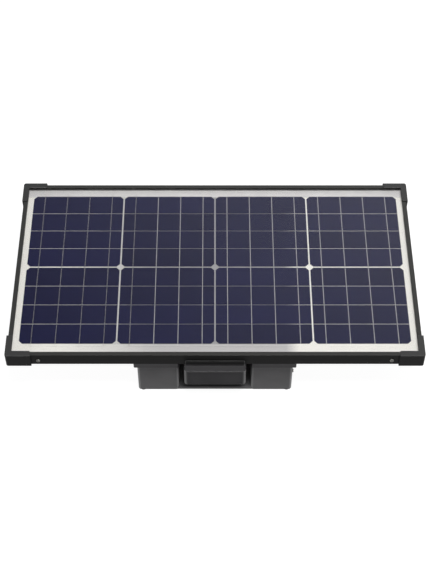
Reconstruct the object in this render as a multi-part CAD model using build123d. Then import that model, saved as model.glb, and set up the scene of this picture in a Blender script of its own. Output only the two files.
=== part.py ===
from build123d import *
import os

# A framed solar panel that lies flat over a moulded power housing with a front grab handle.
# Millimetres. While it is drawn, X runs along the long side, Y from front to rear, and Z = 0
# is the top of the solar cells. The part's own origin, set at the end, is the middle of its
# outer box on the ground under the feet.

# ---- solar cells and laminate ----
CELL = 156.75            # full cell, square
CELL_GAP = 2.5           # between full cells
CELL_COLUMNS = 4
CELL_ROWS = 2
CELL_CORNER = 5.5        # cut corner of a full cell
CELL_T = 0.2
STRIPS = 4               # strips that each full cell is cut into
STRIP_GAP = 0.9
BUSBARS = 4              # tinned ribbons over each cell
RIBBON_W = 1.2
RIBBON_T = 0.15
RIBBON_OVERHANG = 6.0    # ribbon beyond the last cell, up to the end ribbon
BUS_W = 5.0              # end ribbon that joins the columns
SHEET_T = 0.35           # each encapsulant sheet and the backsheet
GLASS_T = 4.0
GLASS_CHAMFER = 0.4
BORDER_SIDE = 9.25       # white border that shows beside the cells
BORDER_REAR = 13.3
BORDER_FRONT = 21.0

# ---- frame ----
LIP_W = 7.5              # top lip over the glass, outer wall included
LIP_T = 2.2
RAIL_WALL = 1.6
RAIL_WEB = 1.2
RAIL_CHAMBER = 8.4       # closed chamber that takes the corner keys
RAIL_H = 23.8
FLANGE_W = 22.0          # bottom return flange, outer wall included
FLANGE_T = 1.5
RAIL_EDGE_R = 0.5
SEAL_T = 0.8             # seal above and below the laminate
SEAL_EDGE = 1.0          # seal outside the laminate's edge
KEY_CLEAR = 0.1
KEY_PAST_GUARD = 13.0    # key's arm beyond the end of the guard

# ---- corner guards ----
GUARD_WALL = 2.6
GUARD_PLATE = 2.2
GUARD_ARM = 41.0
GUARD_INSIDE = 0.5       # how far its plates reach past the lip and the flange
GUARD_CORNER_R = 4.0
GUARD_EDGE_R = 0.8
GUARD_END_CUT = 2.0

# ---- fasteners: shank radius, head radius, head height ----
M3 = (1.5, 3.2, 2.0)
M4 = (2.0, 4.0, 2.4)
THREAD_CLEAR = 0.02      # a screw in the hole that its own thread cuts
HEAD_ROUND = 0.55        # rounding of a head, as a share of its height
CROSS = (1.1, 0.28)      # cross recess: length and width, as shares of the head's radius
FRAME_SCREW_GAP = 9.2    # from the end of the guard
FRAME_SCREW_DROP = 13.2  # below the rail's top
FRAME_SCREW_L = 9.0
RAIL_DRILL = 3.0         # how far a drill runs past a rail's wall or flange
MOUNT_HOLE_X = 160.0     # holes in the flanges for a roof or pole bracket
MOUNT_HOLE_R = 3.3

# ---- cross member that carries the rear of the housing ----
MEMBER_W = 30.0
MEMBER_T = 2.0
MEMBER_DROP = 1.4        # gap under the backsheet
MEMBER_TAB = 9.0
MEMBER_SCREW_PITCH = 16.0
SPACER_IN = 22.5         # spacer's middle inside the tub's side
SPACER_W = 16.0
SPACER_L = 20.0
SPACER_CHAMFER = 1.0
HEAD_CLEAR = 3.5         # screw heads clear of the tub's walls

# ---- fold-down stand ----
BAIL_R = 5.0
BAIL_WALL = 1.25
BAIL_SIDE_GAP = 2.0      # legs inside the frame's flanges
BAIL_TOP_GAP = 1.1       # legs under the cross member
BAIL_PIVOT_GAP = 6.5     # pivot behind the ends of the corner keys
BAIL_BAR_IN = 33.8       # bar in front of the frame's rear face
BAIL_BEND = 28.0
BAIL_END = 6.0           # tube beyond the pivot
PLUG_L = 22.0
PLUG_CLEAR = 0.02        # radial
PIVOT_R = 2.5
PIVOT_FLANGE_T = 1.5
PIVOT_SINK = 4.0         # bolt's end inside the side rail's chamber
RUN_CLEAR = 0.05         # radial clearance of a turning fit
FACE_CLEAR = 0.3         # between faces that move past each other
KNOB_R = 8.0
KNOB_L = 13.0
KNOB_FLUTES = 8
KNOB_FLUTE_R = 2.2
KNOB_FLUTE_OUT = 0.9     # flute's axis outside the knob
KNOB_EDGE_R = 1.2
KNOB_FLUTE_IN = (2.5, 1.0)   # flute's ends inside the knob's inner and outer face
KNOB_END = 2.5           # knob's closed end
BOLT_END = 3.0           # bolt's end inside the knob's outer face
SLEEVE_R = 7.2
SLEEVE_L = 50.0
SLEEVE_IN = 100.0        # sleeve's middle inside the leg
SLEEVE_EDGE_R = 1.0

# ---- housing under the front half ----
COVER_SIDE = 5.2         # rim outside the tub's side
COVER_PAST = 4.0         # rim behind the tub's rear
COVER_EDGE_R = 2.0
HOUSING_SCREW_L = 16.0
COVER_T = 2.5
COVER_H = 10.7
TUB_X = 126.5            # half width
TUB_SETBACK = 3.5        # tub's face behind the rail's face
TUB_L = 233.0            # front to rear
HOUSING_DEPTH = 78.7     # under the frame
TUB_WALL = 2.5
TUB_EDGE_R = 5.0
TUB_INNER_R = 3.0
LEAST_R = 0.5            # smallest corner of an outline that is drawn in
GASKET_T = 1.5
RECESS_SIDE = 9.0        # hand recess past the handle's ends
RECESS_DEPTH = 58.0
SILL_H = 3.0             # sill across the recess, above the base plate
SILL_IN = 0.5            # sill's face behind the tub's
BASE_T = 3.0
BASE_CLEAR = 0.2
BASE_CHAMFER = 0.5
CASE_SCREW_L = 9.0
BLIND = 1.2              # floor left under the blind holes in the base plate
FOOT_R = 5.5
FOOT_H = 2.4
FOOT_EDGE_R = 0.6
FOOT_SIDE_IN = 8.1       # foot's centre inside the tub's side
FOOT_IN = 5.8            # foot's centre behind the tub's face
BOSS_R = 4.0
BOSS_SINK = 0.5          # boss sunk in the wall beside it
BASE_BOSS_H = 26.0
BASE_BOSS_IN = 16.0      # boss inside the tub's corner
BASE_SCREW_DEEP = 11.0   # hole in the boss
COVER_BOSS_H = 14.0
COVER_SCREW_IN = 31.5    # cover's front screws inside the tub's side

# ---- grab handle ----
HANDLE_X = 50.0          # half width
HANDLE_PROUD = 13.7      # bar's face in front of the rail's face
HANDLE_BAR = 10.7        # bar, front to rear
HANDLE_TOP_DROP = 2.2    # bar's top under the rail
HANDLE_H = 37.5
HANDLE_ARM = 6.0
HANDLE_ARM_H = 30.0
HANDLE_SHELF = 3.0
HANDLE_CORNER_R = 5.5
HANDLE_EDGE_R = 1.4
HANDLE_SCREW_IN = 20.0   # handle's screws inside its ends
TAB_IN = 2.0             # tab's ends inside the handle's
TAB_T = 1.8
TAB_RISE = 10.3          # tab above the underside of the rail
TAB_R = 1.6
TAB_EDGE_R = 0.7
GRIP_MARGIN = 6.0
GRIP_TOP = 3.6
GRIP_BOTTOM = 2.4
GRIP_DEPTH = 2.0
GRIP_SINK = 0.7
GRIP_CORNER_R = 2.0
GRIP_CLEAR = 0.1

# ---- junction box ----
JBOX_X = 45.0
JBOX_L = 60.0
JBOX_CORNER_R = 4.0
JBOX_WALL = 2.0
JBOX_LID_T = 2.2
JBOX_GAP = 1.0           # lid above the housing's cover
NECK_R = 10.0
NECK_BORE = 7.0
NECK_IN = 25.0           # neck behind the hand recess
NECK_DROP = 5.0          # neck below the cover's plate
NECK_SEAL = 2.0
LEAD_R = 1.6
LEAD_X = 3.5
DIODE_R = 2.7
DIODE_L = 9.0
DIODE_X = 22.0
DIODE_IN = 15.0

# ---- inside the housing ----
PACK = (150.0, 74.0, 38.0)
PACK_IN = 50.0           # pack's middle in front of the tub's rear
PACK_R = 8.0
STRAP_W = 22.0
STRAP_T = 1.2
STRAP_GAP = 1.0          # beside the pack's ends
STRAP_FOOT = 14.0
BOARD = (120.0, 60.0, 1.6)
BOARD_IN = 41.0          # board's middle behind the hand recess
BOARD_UP = 30.0          # board above the base plate
STANDOFF_R = 3.0
BOARD_HOLE_IN = 5.0
TERMINAL = (18.0, 12.0, 12.0)
TERMINAL_CHAMFER = 1.5
LEAD_SINK = 2.0          # leads inside the terminal block
COIL = (9.0, 4.0, 11.0)  # radius, bore, height
COIL_IN = 26.0           # coil's middle inside the board's end
COIL_BACK = 4.0          # coil's middle behind the board's
CAN = (5.0, 16.0)        # capacitor's radius and height
CAN_PITCH = 14.0
CAN_IN = 16.0            # row of capacitors in front of the board's rear
CAN_EDGE_R = 0.8
SINK = (28.0, 36.0, 14.0)
SINK_IN = 6.0            # sink inside the board's end
SINK_BACK = 2.0          # sink's middle behind the board's
SINK_FINS = 7
SINK_BASE = 3.0
FIN_T = 1.6

# ---- socket plate on the right-hand wall ----
PLATE_IN = 23.0          # plate behind the tub's face
PLATE_L = 103.0
PLATE_H = 44.0
PLATE_T = 2.0
PLATE_R = 4.0
LANDING_END = 6.0        # plate's ends on the wall, round the window behind it
LANDING_EDGE = 4.0
PLATE_SCREW_IN = 3.7     # from the plate's edges
SOCKET_IN = 27.0         # power socket in front of the plate's rear end
SOCKET_R = 12.0
SOCKET_BORE = 10.5
SOCKET_L = 36.0
SOCKET_FLANGE = 3.0      # flange outside the barrel
SOCKET_FLOOR = 3.0
SOCKET_PIN = (3.0, 8.0)  # centre contact: radius, length
USB_GAP = 37.5           # between the two sockets' middles
USB_SIZE = (22.0, 14.0)
USB_L = 22.0
USB_PORT = (13.0, 4.8)
USB_TONGUE = (11.0, 1.8)
USB_DEEP = 12.0
USB_TONGUE_IN = 2.0      # tongue's end behind the plate's face
USB_PITCH = 6.8
BUTTON_GAP = 24.5        # button in front of the small socket
BUTTON_DROP = 6.0        # button under the sockets' middle
BUTTON_R = 6.0
BUTTON_TRAVEL = 1.5
BUTTON_PROUD = 2.5
BUTTON_EDGE_R = 1.0
BUTTON_FLANGE = (1.4, 1.2)   # wider than the cap by, thickness
SWITCH = (10.0, 14.0)    # switch behind the button: depth, width
LAMP_RISE = 10.0         # lamp above the sockets' middle
LAMP_R = 2.5
LAMP_PROUD = 1.0
LAMP_EDGE_R = 0.9
CAP_T = 2.4
CAP_GAP = 0.4
CAP_EDGE_R = 0.8
CAP_LIP = (1.6, 2.5, 10.0)   # finger lip: proud of the cap, thickness, length
CAP_LIP_IN = 1.5         # finger lip inside the cap's free edge
CAP_LAP = 3.0            # knuckle's arm inside the cap
CAP_PIN_R = 1.0
CAP_KNUCKLE_R = 2.2
CAP_KNUCKLE_L = 8.0
CAP_LUG_L = 4.0
CAP_PIN_GAP = 0.8        # knuckle past the cap's edge
CAP_SOCKET = (30.0, 30.0, 6.0)   # front to rear, height, corner
CAP_USB = (28.0, 22.0, 4.0)

# ---- worked-out levels and edges ----
FIELD_X = CELL_COLUMNS * CELL + (CELL_COLUMNS - 1) * CELL_GAP
FIELD_Y = CELL_ROWS * CELL + (CELL_ROWS - 1) * CELL_GAP
PITCH = CELL + CELL_GAP
GLASS_BOTTOM = RIBBON_T + SHEET_T
GLASS_TOP = GLASS_BOTTOM + GLASS_T
REAR_SHEET_TOP = -CELL_T
BACKSHEET_TOP = REAR_SHEET_TOP - SHEET_T
LAMINATE_BOTTOM = BACKSHEET_TOP - SHEET_T
RAIL_TOP = GLASS_TOP + SEAL_T + LIP_T
RAIL_BOTTOM = RAIL_TOP - RAIL_H
SHELF_TOP = LAMINATE_BOTTOM - SEAL_T
SIDE = FIELD_X / 2 + BORDER_SIDE + LIP_W
REAR = FIELD_Y / 2 + BORDER_REAR + LIP_W
FRONT = -(FIELD_Y / 2 + BORDER_FRONT + LIP_W)
SHELF_W = RAIL_WALL + RAIL_CHAMBER + RAIL_WEB
WEB_X = SIDE - SHELF_W   # inner face of a side rail's chamber
GUARD_END_X = SIDE + GUARD_WALL - GUARD_ARM
FRAME_SCREW_X = SIDE - GUARD_ARM - FRAME_SCREW_GAP
FRAME_SCREW_Z = RAIL_TOP - FRAME_SCREW_DROP
KEY_ARM = GUARD_ARM + KEY_PAST_GUARD
FLANGE_MIDDLE = (SHELF_W + FLANGE_W) / 2
MEMBER_TOP = LAMINATE_BOTTOM - MEMBER_DROP
BAIL_X = SIDE - FLANGE_W - BAIL_SIDE_GAP - BAIL_R
BAIL_Z = MEMBER_TOP - MEMBER_T - BAIL_TOP_GAP - BAIL_R
BAIL_PIVOT_Y = FRONT + KEY_ARM + BAIL_PIVOT_GAP
BAIL_BAR_Y = REAR - BAIL_BAR_IN
SLEEVE_X = BAIL_X - SLEEVE_IN
BUSH_R = BAIL_Z - RAIL_BOTTOM - FLANGE_T - FACE_CLEAR   # clear above the rail's flange
COVER_UNDER = RAIL_BOTTOM - COVER_T
COVER_BOTTOM = RAIL_BOTTOM - COVER_H
COVER_X = TUB_X + COVER_SIDE
TUB_TOP = COVER_UNDER - GASKET_T
TUB_BOTTOM = RAIL_BOTTOM - HOUSING_DEPTH
TUB_FRONT = FRONT + TUB_SETBACK
TUB_REAR = TUB_FRONT + TUB_L
COVER_REAR = TUB_REAR + COVER_PAST
RECESS_X = HANDLE_X + RECESS_SIDE
RECESS_BACK = TUB_FRONT + RECESS_DEPTH
BOSS_IN = TUB_WALL + BOSS_R - BOSS_SINK
FOOT_X = TUB_X - FOOT_SIDE_IN
MEMBER_Y = TUB_REAR - TUB_WALL - HEAD_CLEAR - M4[1]
SPACER_X = TUB_X - SPACER_IN
BASE_TOP = TUB_BOTTOM + BASE_T
GROUND = TUB_BOTTOM - FOOT_H
BAR_FRONT = FRONT - HANDLE_PROUD
BAR_BACK = BAR_FRONT + HANDLE_BAR
BAR_TOP = RAIL_BOTTOM - HANDLE_TOP_DROP
BAR_BOTTOM = BAR_TOP - HANDLE_H
TAB_X = HANDLE_X - TAB_IN
NECK_Y = RECESS_BACK + NECK_IN
JBOX_Y = (NECK_Y - JBOX_L / 2, NECK_Y + JBOX_L / 2)
JBOX_FLOOR = RAIL_BOTTOM + JBOX_GAP
NECK_BOTTOM = COVER_UNDER - NECK_DROP
PACK_Y = TUB_REAR - PACK_IN
BOARD_Y = RECESS_BACK + BOARD_IN
BOARD_BOTTOM = BASE_TOP + BOARD_UP
BOARD_TOP = BOARD_BOTTOM + BOARD[2]
PLATE_FACE = TUB_X + PLATE_T
SOCKET_Z = (TUB_BOTTOM + COVER_BOTTOM) / 2
PLATE_Y = (TUB_FRONT + PLATE_IN, TUB_FRONT + PLATE_IN + PLATE_L)
PLATE_Z = (SOCKET_Z - PLATE_H / 2, SOCKET_Z + PLATE_H / 2)
SOCKET_Y = PLATE_Y[1] - SOCKET_IN
USB_Y = SOCKET_Y - USB_GAP
BUTTON_Y = USB_Y - BUTTON_GAP
BUTTON_Z = SOCKET_Z - BUTTON_DROP
LAMP_Z = SOCKET_Z + LAMP_RISE
CORNERS = [(-1, -1), (1, -1), (-1, 1), (1, 1)]


def block(x, y, z):
    """A box between two limits on each axis."""
    size = [abs(b - a) for a, b in (x, y, z)]
    middle = [(a + b) / 2 for a, b in (x, y, z)]
    return Pos(*middle) * Box(*size)


def post(x, y, z, radius):
    """An upright cylinder."""
    return Pos(x, y, sum(z) / 2) * Cylinder(radius, abs(z[1] - z[0]))


def rod_x(x, y, z, radius):
    """A cylinder along X."""
    return Pos(sum(x) / 2, y, z) * Rot(0, 90, 0) * Cylinder(radius, abs(x[1] - x[0]))


def rod_y(x, y, z, radius):
    """A cylinder along Y."""
    return Pos(x, sum(y) / 2, z) * Rot(90, 0, 0) * Cylinder(radius, abs(y[1] - y[0]))


def group(solids):
    """Separate solids that share one node."""
    return Compound(children=list(solids))


def upright(shape, x, y, near=0.5):
    """The vertical edges of a shape that stand at a plan position."""
    return [e for e in shape.edges().filter_by(Axis.Z)
            if abs(e.center().X - x) < near and abs(e.center().Y - y) < near]


def pan_screw(size, length):
    """A pan-head screw that points down from Z = 0, with a cross recess in its head."""
    shank, head, height = size
    body = Pos(0, 0, -length / 2) * Cylinder(shank, length)
    dome = Pos(0, 0, height / 2) * Cylinder(head, height)
    dome = fillet(dome.edges().group_by(Axis.Z)[-1], height * HEAD_ROUND)
    slot = Box(head * CROSS[0], head * CROSS[1], height)
    cross = Pos(0, 0, height) * (slot + Rot(0, 0, 90) * slot)
    return body + dome - cross


# ---- laminate ----

def solar_cells():
    """Full cells with cut corners, each divided into strips across its depth."""
    strips = []
    for column in range(CELL_COLUMNS):
        for row in range(CELL_ROWS):
            x = (column - (CELL_COLUMNS - 1) / 2) * PITCH
            y = (row - (CELL_ROWS - 1) / 2) * PITCH
            wafer = Pos(x, y, -CELL_T / 2) * Box(CELL, CELL, CELL_T)
            wafer = chamfer(wafer.edges().filter_by(Axis.Z), CELL_CORNER)
            height = CELL / STRIPS
            for strip in range(STRIPS):
                low = y - CELL / 2 + strip * height
                cut_low = low + (STRIP_GAP / 2 if strip else 0)
                cut_high = low + height - (STRIP_GAP / 2 if strip < STRIPS - 1 else 0)
                window = block((x - CELL, x + CELL), (cut_low, cut_high), (-CELL_T, 0))
                strips.append((wafer & window).solids()[0])
    return group(strips)


def busbar_x():
    """Where the ribbons run: evenly spaced over every column of cells."""
    for column in range(CELL_COLUMNS):
        left = -FIELD_X / 2 + column * PITCH
        for bar in range(BUSBARS):
            yield left + CELL * (bar + 0.5) / BUSBARS


def cell_ribbons():
    reach = FIELD_Y / 2 + RIBBON_OVERHANG
    return group(block((x - RIBBON_W / 2, x + RIBBON_W / 2), (-reach, reach), (0, RIBBON_T))
                 for x in busbar_x())


def bus_ribbons():
    """End ribbons: columns joined in pairs at the rear, ends and middle pair at the front."""
    at = list(busbar_x())
    near = FIELD_Y / 2 + RIBBON_OVERHANG
    rear = (near - BUS_W, near)
    front = (-near, -near + BUS_W)
    runs = [(0, 1, rear), (2, 3, rear), (0, 0, front), (1, 2, front), (3, 3, front)]
    made = []
    for first, last, y in runs:
        x0 = at[first * BUSBARS] - RIBBON_W
        x1 = at[last * BUSBARS + BUSBARS - 1] + RIBBON_W
        made.append(block((x0, x1), y, (-CELL_T, 0)))
    return group(made)


def laminate_sheet(bottom, top, chamfered=False):
    """One flat layer of the laminate."""
    edge = RAIL_WALL + SEAL_EDGE
    sheet = block((-SIDE + edge, SIDE - edge), (FRONT + edge, REAR - edge), (bottom, top))
    if chamfered:
        sheet = chamfer(sheet.edges().group_by(Axis.Z)[-1], GLASS_CHAMFER)
    return sheet


def edge_seal():
    """A channel of rubber round the edge of the laminate."""
    lap = LIP_W - SEAL_T
    whole = block((-SIDE + RAIL_WALL, SIDE - RAIL_WALL),
                  (FRONT + RAIL_WALL, REAR - RAIL_WALL), (SHELF_TOP, GLASS_TOP + SEAL_T))
    window = block((-SIDE + lap, SIDE - lap), (FRONT + lap, REAR - lap),
                   (SHELF_TOP - 1, GLASS_TOP + 1))
    return whole - window - laminate_sheet(LAMINATE_BOTTOM, GLASS_TOP)


# ---- frame ----

def rail(half):
    """A front rail: its outer face at Y = 0, its lip and flange towards +Y, mitred ends."""
    x = (-half, half)
    shape = block(x, (0, RAIL_WALL), (RAIL_BOTTOM, RAIL_TOP))
    shape += block(x, (0, LIP_W), (RAIL_TOP - LIP_T, RAIL_TOP))
    shape += block(x, (0, SHELF_W), (SHELF_TOP - RAIL_WEB, SHELF_TOP))
    shape += block(x, (SHELF_W - RAIL_WEB, SHELF_W), (RAIL_BOTTOM, SHELF_TOP))
    shape += block(x, (0, FLANGE_W), (RAIL_BOTTOM, RAIL_BOTTOM + FLANGE_T))
    lip_edges = [e for e in shape.edges().filter_by(Axis.X)
                 if abs(e.center().Z - RAIL_TOP) < 0.01]
    shape = fillet(lip_edges, RAIL_EDGE_R)
    plan = make_face(Polyline((-half, 0), (half, 0), (half - FLANGE_W, FLANGE_W),
                              (-half + FLANGE_W, FLANGE_W), close=True))
    mitre = Pos(0, 0, RAIL_BOTTOM - 1) * extrude(plan, RAIL_H + 2, dir=(0, 0, 1))
    return shape & mitre


def long_rail(sign):
    """Front rail for -1, rear rail for +1, drilled for its screws."""
    y = FRONT if sign < 0 else REAR
    turn = 0 if sign < 0 else 180
    shape = Pos(0, y, 0) * Rot(0, 0, turn) * rail(SIDE)
    hole = M3[0] + THREAD_CLEAR
    drill = (RAIL_BOTTOM - RAIL_DRILL, RAIL_BOTTOM + RAIL_DRILL)
    for x in (-FRAME_SCREW_X, FRAME_SCREW_X):
        shape -= rod_y(x, (y - RAIL_DRILL, y + RAIL_DRILL), FRAME_SCREW_Z, hole)
    for x, y_hole in guard_screw_places(sign):
        shape -= post(x, y_hole, drill, hole)
    for x in (-MOUNT_HOLE_X, MOUNT_HOLE_X):
        shape -= post(x, y - sign * FLANGE_MIDDLE, drill, MOUNT_HOLE_R)
    if sign < 0:
        for x, y_hole in front_screw_places():
            shape -= post(x, y_hole, drill, M4[0] + THREAD_CLEAR)
    return shape


def side_rail(sign):
    """Left rail for -1, right rail for +1, drilled for the pivot and the cross member."""
    half = (REAR - FRONT) / 2
    shape = Pos(sign * SIDE, (REAR + FRONT) / 2, 0) * Rot(0, 0, sign * 90) * rail(half)
    wall = (sign * (WEB_X - RAIL_DRILL), sign * (WEB_X + RAIL_WEB + RAIL_DRILL))
    shape -= rod_x(wall, BAIL_PIVOT_Y, BAIL_Z, PIVOT_R + THREAD_CLEAR)
    for y in member_screw_ys():
        shape -= rod_x(wall, y, member_screw_z(), M3[0] + THREAD_CLEAR)
    return shape


def corner_keys():
    """L-shaped keys in the rails' chambers, drilled for the frame and guard screws."""
    low = RAIL_WALL + KEY_CLEAR
    high = RAIL_WALL + RAIL_CHAMBER - KEY_CLEAR
    z = (RAIL_BOTTOM + FLANGE_T + KEY_CLEAR, SHELF_TOP - RAIL_WEB - KEY_CLEAR)
    keys = []
    for sx, sy in CORNERS:
        x_edge = sx * SIDE
        y_edge = FRONT if sy < 0 else REAR
        along = block((x_edge - sx * low, x_edge - sx * KEY_ARM),
                      (y_edge - sy * low, y_edge - sy * high), z)
        across = block((x_edge - sx * low, x_edge - sx * high),
                       (y_edge - sy * low, y_edge - sy * KEY_ARM), z)
        key = along + across
        hole = M3[0] + THREAD_CLEAR
        key -= rod_y(sx * FRAME_SCREW_X, (y_edge, y_edge - sy * SHELF_W), FRAME_SCREW_Z, hole)
        for x, y in guard_screw_places(sy):
            key -= post(x, y, (RAIL_BOTTOM, RAIL_BOTTOM + FRAME_SCREW_L), hole)
        keys.append(key)
    return group(keys)


def frame_screws():
    """Screws into the corner keys, and through the cross member's tabs into the side rails."""
    screw = pan_screw(M3, FRAME_SCREW_L)
    screws = []
    for sx, sy in CORNERS:
        y = FRONT if sy < 0 else REAR
        tilt = 90 if sy < 0 else -90
        screws.append(Pos(sx * FRAME_SCREW_X, y, FRAME_SCREW_Z) * Rot(tilt, 0, 0) * screw)
    for sign in (-1, 1):
        for y in member_screw_ys():
            place = Pos(sign * (WEB_X - MEMBER_T), y, member_screw_z()) * Rot(0, -sign * 90, 0)
            screws.append(place * screw)
    return group(screws)


def guard_screw_places(sy):
    """Under the long rails, one at each end, in the middle of the chamber."""
    inward = RAIL_WALL + RAIL_CHAMBER / 2
    y = FRONT + inward if sy < 0 else REAR - inward
    return [(sx * (SIDE - GUARD_ARM / 2), y) for sx in (-1, 1)]


def corner_guard(sx, sy):
    """A moulded cap over one corner of the frame: two walls, a top lip and a floor."""
    x_edge = sx * (SIDE + GUARD_WALL)
    y_edge = (FRONT - GUARD_WALL) if sy < 0 else (REAR + GUARD_WALL)
    z = (RAIL_BOTTOM - GUARD_PLATE, RAIL_TOP + GUARD_PLATE)

    def angle(width, z_range):
        along = block((x_edge, x_edge - sx * GUARD_ARM), (y_edge, y_edge - sy * width), z_range)
        across = block((x_edge, x_edge - sx * width), (y_edge, y_edge - sy * GUARD_ARM), z_range)
        return along + across

    lip = GUARD_WALL + LIP_W + GUARD_INSIDE
    floor = GUARD_WALL + FLANGE_W + GUARD_INSIDE
    shape = angle(GUARD_WALL, z)
    top = angle(lip, (RAIL_TOP, z[1]))
    ends = (upright(top, x_edge - sx * GUARD_ARM, y_edge - sy * lip)
            + upright(top, x_edge - sx * lip, y_edge - sy * GUARD_ARM))
    shape += chamfer(ends, GUARD_END_CUT)
    shape += angle(floor, (z[0], RAIL_BOTTOM))
    shape = fillet(upright(shape, x_edge, y_edge), GUARD_CORNER_R)
    rim = [e for e in shape.edges().group_by(Axis.Z)[-1]
           if abs(e.center().X) > GUARD_END_X - GUARD_WALL]
    shape = fillet(rim, GUARD_EDGE_R)
    shape = fillet(shape.edges().group_by(Axis.Z)[0], GUARD_EDGE_R)
    for x, y in guard_screw_places(sy):
        shape -= post(x, y, (z[0] - 1, RAIL_BOTTOM + 1), M3[0] + THREAD_CLEAR)
    return shape


def guard_screws():
    z = RAIL_BOTTOM - GUARD_PLATE
    places = guard_screw_places(-1) + guard_screw_places(1)
    return group(Pos(x, y, z) * Rot(180, 0, 0) * pan_screw(M3, FRAME_SCREW_L)
                 for x, y in places)


# ---- cross member ----

def member_screw_ys():
    return [MEMBER_Y - MEMBER_SCREW_PITCH / 2, MEMBER_Y + MEMBER_SCREW_PITCH / 2]


def member_screw_z():
    return MEMBER_TOP - MEMBER_T - MEMBER_TAB / 2


def spacer_places():
    return [(x, MEMBER_Y) for x in (-SPACER_X, 0, SPACER_X)]


def cross_member():
    """A flat bar between the side rails, with a tab turned down at each end."""
    y = (MEMBER_Y - MEMBER_W / 2, MEMBER_Y + MEMBER_W / 2)
    shape = block((-WEB_X, WEB_X), y, (MEMBER_TOP - MEMBER_T, MEMBER_TOP))
    for sign in (-1, 1):
        tab = (sign * (WEB_X - MEMBER_T), sign * WEB_X)
        shape += block(tab, y, (MEMBER_TOP - MEMBER_T - MEMBER_TAB, MEMBER_TOP))
        for y_hole in member_screw_ys():
            shape -= rod_x((sign * (WEB_X - 5), sign * (WEB_X + 1)), y_hole, member_screw_z(),
                           M3[0] + THREAD_CLEAR)
    for x, y_hole in spacer_places():
        shape -= post(x, y_hole, (MEMBER_TOP - 5, MEMBER_TOP + 1), M4[0] + THREAD_CLEAR)
    return shape


def cover_spacers():
    """Blocks between the cross member and the housing's cover."""
    blocks = []
    for x, y in spacer_places():
        shape = block((x - SPACER_W / 2, x + SPACER_W / 2), (y - SPACER_L / 2, y + SPACER_L / 2),
                      (RAIL_BOTTOM, MEMBER_TOP - MEMBER_T))
        shape = chamfer(shape.edges().filter_by(Axis.Z), SPACER_CHAMFER)
        blocks.append(shape - post(x, y, (RAIL_BOTTOM - 1, MEMBER_TOP), M4[0] + THREAD_CLEAR))
    return group(blocks)


# ---- fold-down stand ----

def bail_path():
    end = BAIL_PIVOT_Y - BAIL_END
    return FilletPolyline((-BAIL_X, end, BAIL_Z), (-BAIL_X, BAIL_BAR_Y, BAIL_Z),
                          (BAIL_X, BAIL_BAR_Y, BAIL_Z), (BAIL_X, end, BAIL_Z), radius=BAIL_BEND)


def stand_bail():
    """A bent tube: two legs and the bar between them, drilled at the pivots."""
    ring = Circle(BAIL_R) - Circle(BAIL_R - BAIL_WALL)
    path = bail_path()
    tube = sweep(Plane(origin=path @ 0, z_dir=path % 0) * ring, path=path)
    for sign in (-1, 1):
        x = (sign * (BAIL_X - 2 * BAIL_R), sign * (BAIL_X + 2 * BAIL_R))
        tube -= rod_x(x, BAIL_PIVOT_Y, BAIL_Z, PIVOT_R + RUN_CLEAR)
    return tube


def bail_plugs():
    """Turned plugs in the tube's ends, drilled to turn on the pivot bolts."""
    plugs = []
    end = BAIL_PIVOT_Y - BAIL_END
    for sign in (-1, 1):
        x = sign * BAIL_X
        plug = rod_y(x, (end, end + PLUG_L), BAIL_Z, BAIL_R - BAIL_WALL - PLUG_CLEAR)
        span = (x - BAIL_R, x + BAIL_R)
        plugs.append(plug - rod_x(span, BAIL_PIVOT_Y, BAIL_Z, PIVOT_R + RUN_CLEAR))
    return group(plugs)


def bail_sleeves():
    """Rubber sleeves on the bar, where it meets the ground."""
    sleeves = []
    for sign in (-1, 1):
        x = (sign * SLEEVE_X - SLEEVE_L / 2, sign * SLEEVE_X + SLEEVE_L / 2)
        sleeve = rod_x(x, BAIL_BAR_Y, BAIL_Z, SLEEVE_R)
        sleeve = fillet(sleeve.edges(), SLEEVE_EDGE_R)
        sleeves.append(sleeve - rod_x((x[0] - 1, x[1] + 1), BAIL_BAR_Y, BAIL_Z, BAIL_R))
    return group(sleeves)


def knob_face(sign):
    """Face of a knob, next to the leg that it clamps."""
    return sign * (BAIL_X - BAIL_R - FACE_CLEAR)


def pivot_bolts():
    """Studs through the side rails' webs, each with a flange that bears on the web."""
    bolts = []
    for sign in (-1, 1):
        outer = sign * (WEB_X + RAIL_WEB + PIVOT_SINK)
        shank = (outer, knob_face(sign) - sign * (KNOB_L - BOLT_END))
        flange = (sign * WEB_X, sign * (WEB_X - PIVOT_FLANGE_T))
        bolts.append(rod_x(shank, BAIL_PIVOT_Y, BAIL_Z, PIVOT_R)
                     + rod_x(flange, BAIL_PIVOT_Y, BAIL_Z, BUSH_R))
    return group(bolts)


def pivot_spacers():
    """Bushes that hold the legs clear of the side rails' flanges."""
    bushes = []
    for sign in (-1, 1):
        x = sorted((sign * (WEB_X - PIVOT_FLANGE_T), sign * (BAIL_X + BAIL_R + FACE_CLEAR)))
        bush = rod_x(x, BAIL_PIVOT_Y, BAIL_Z, BUSH_R)
        bushes.append(bush - rod_x((x[0] - 1, x[1] + 1), BAIL_PIVOT_Y, BAIL_Z, PIVOT_R))
    return group(bushes)


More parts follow.
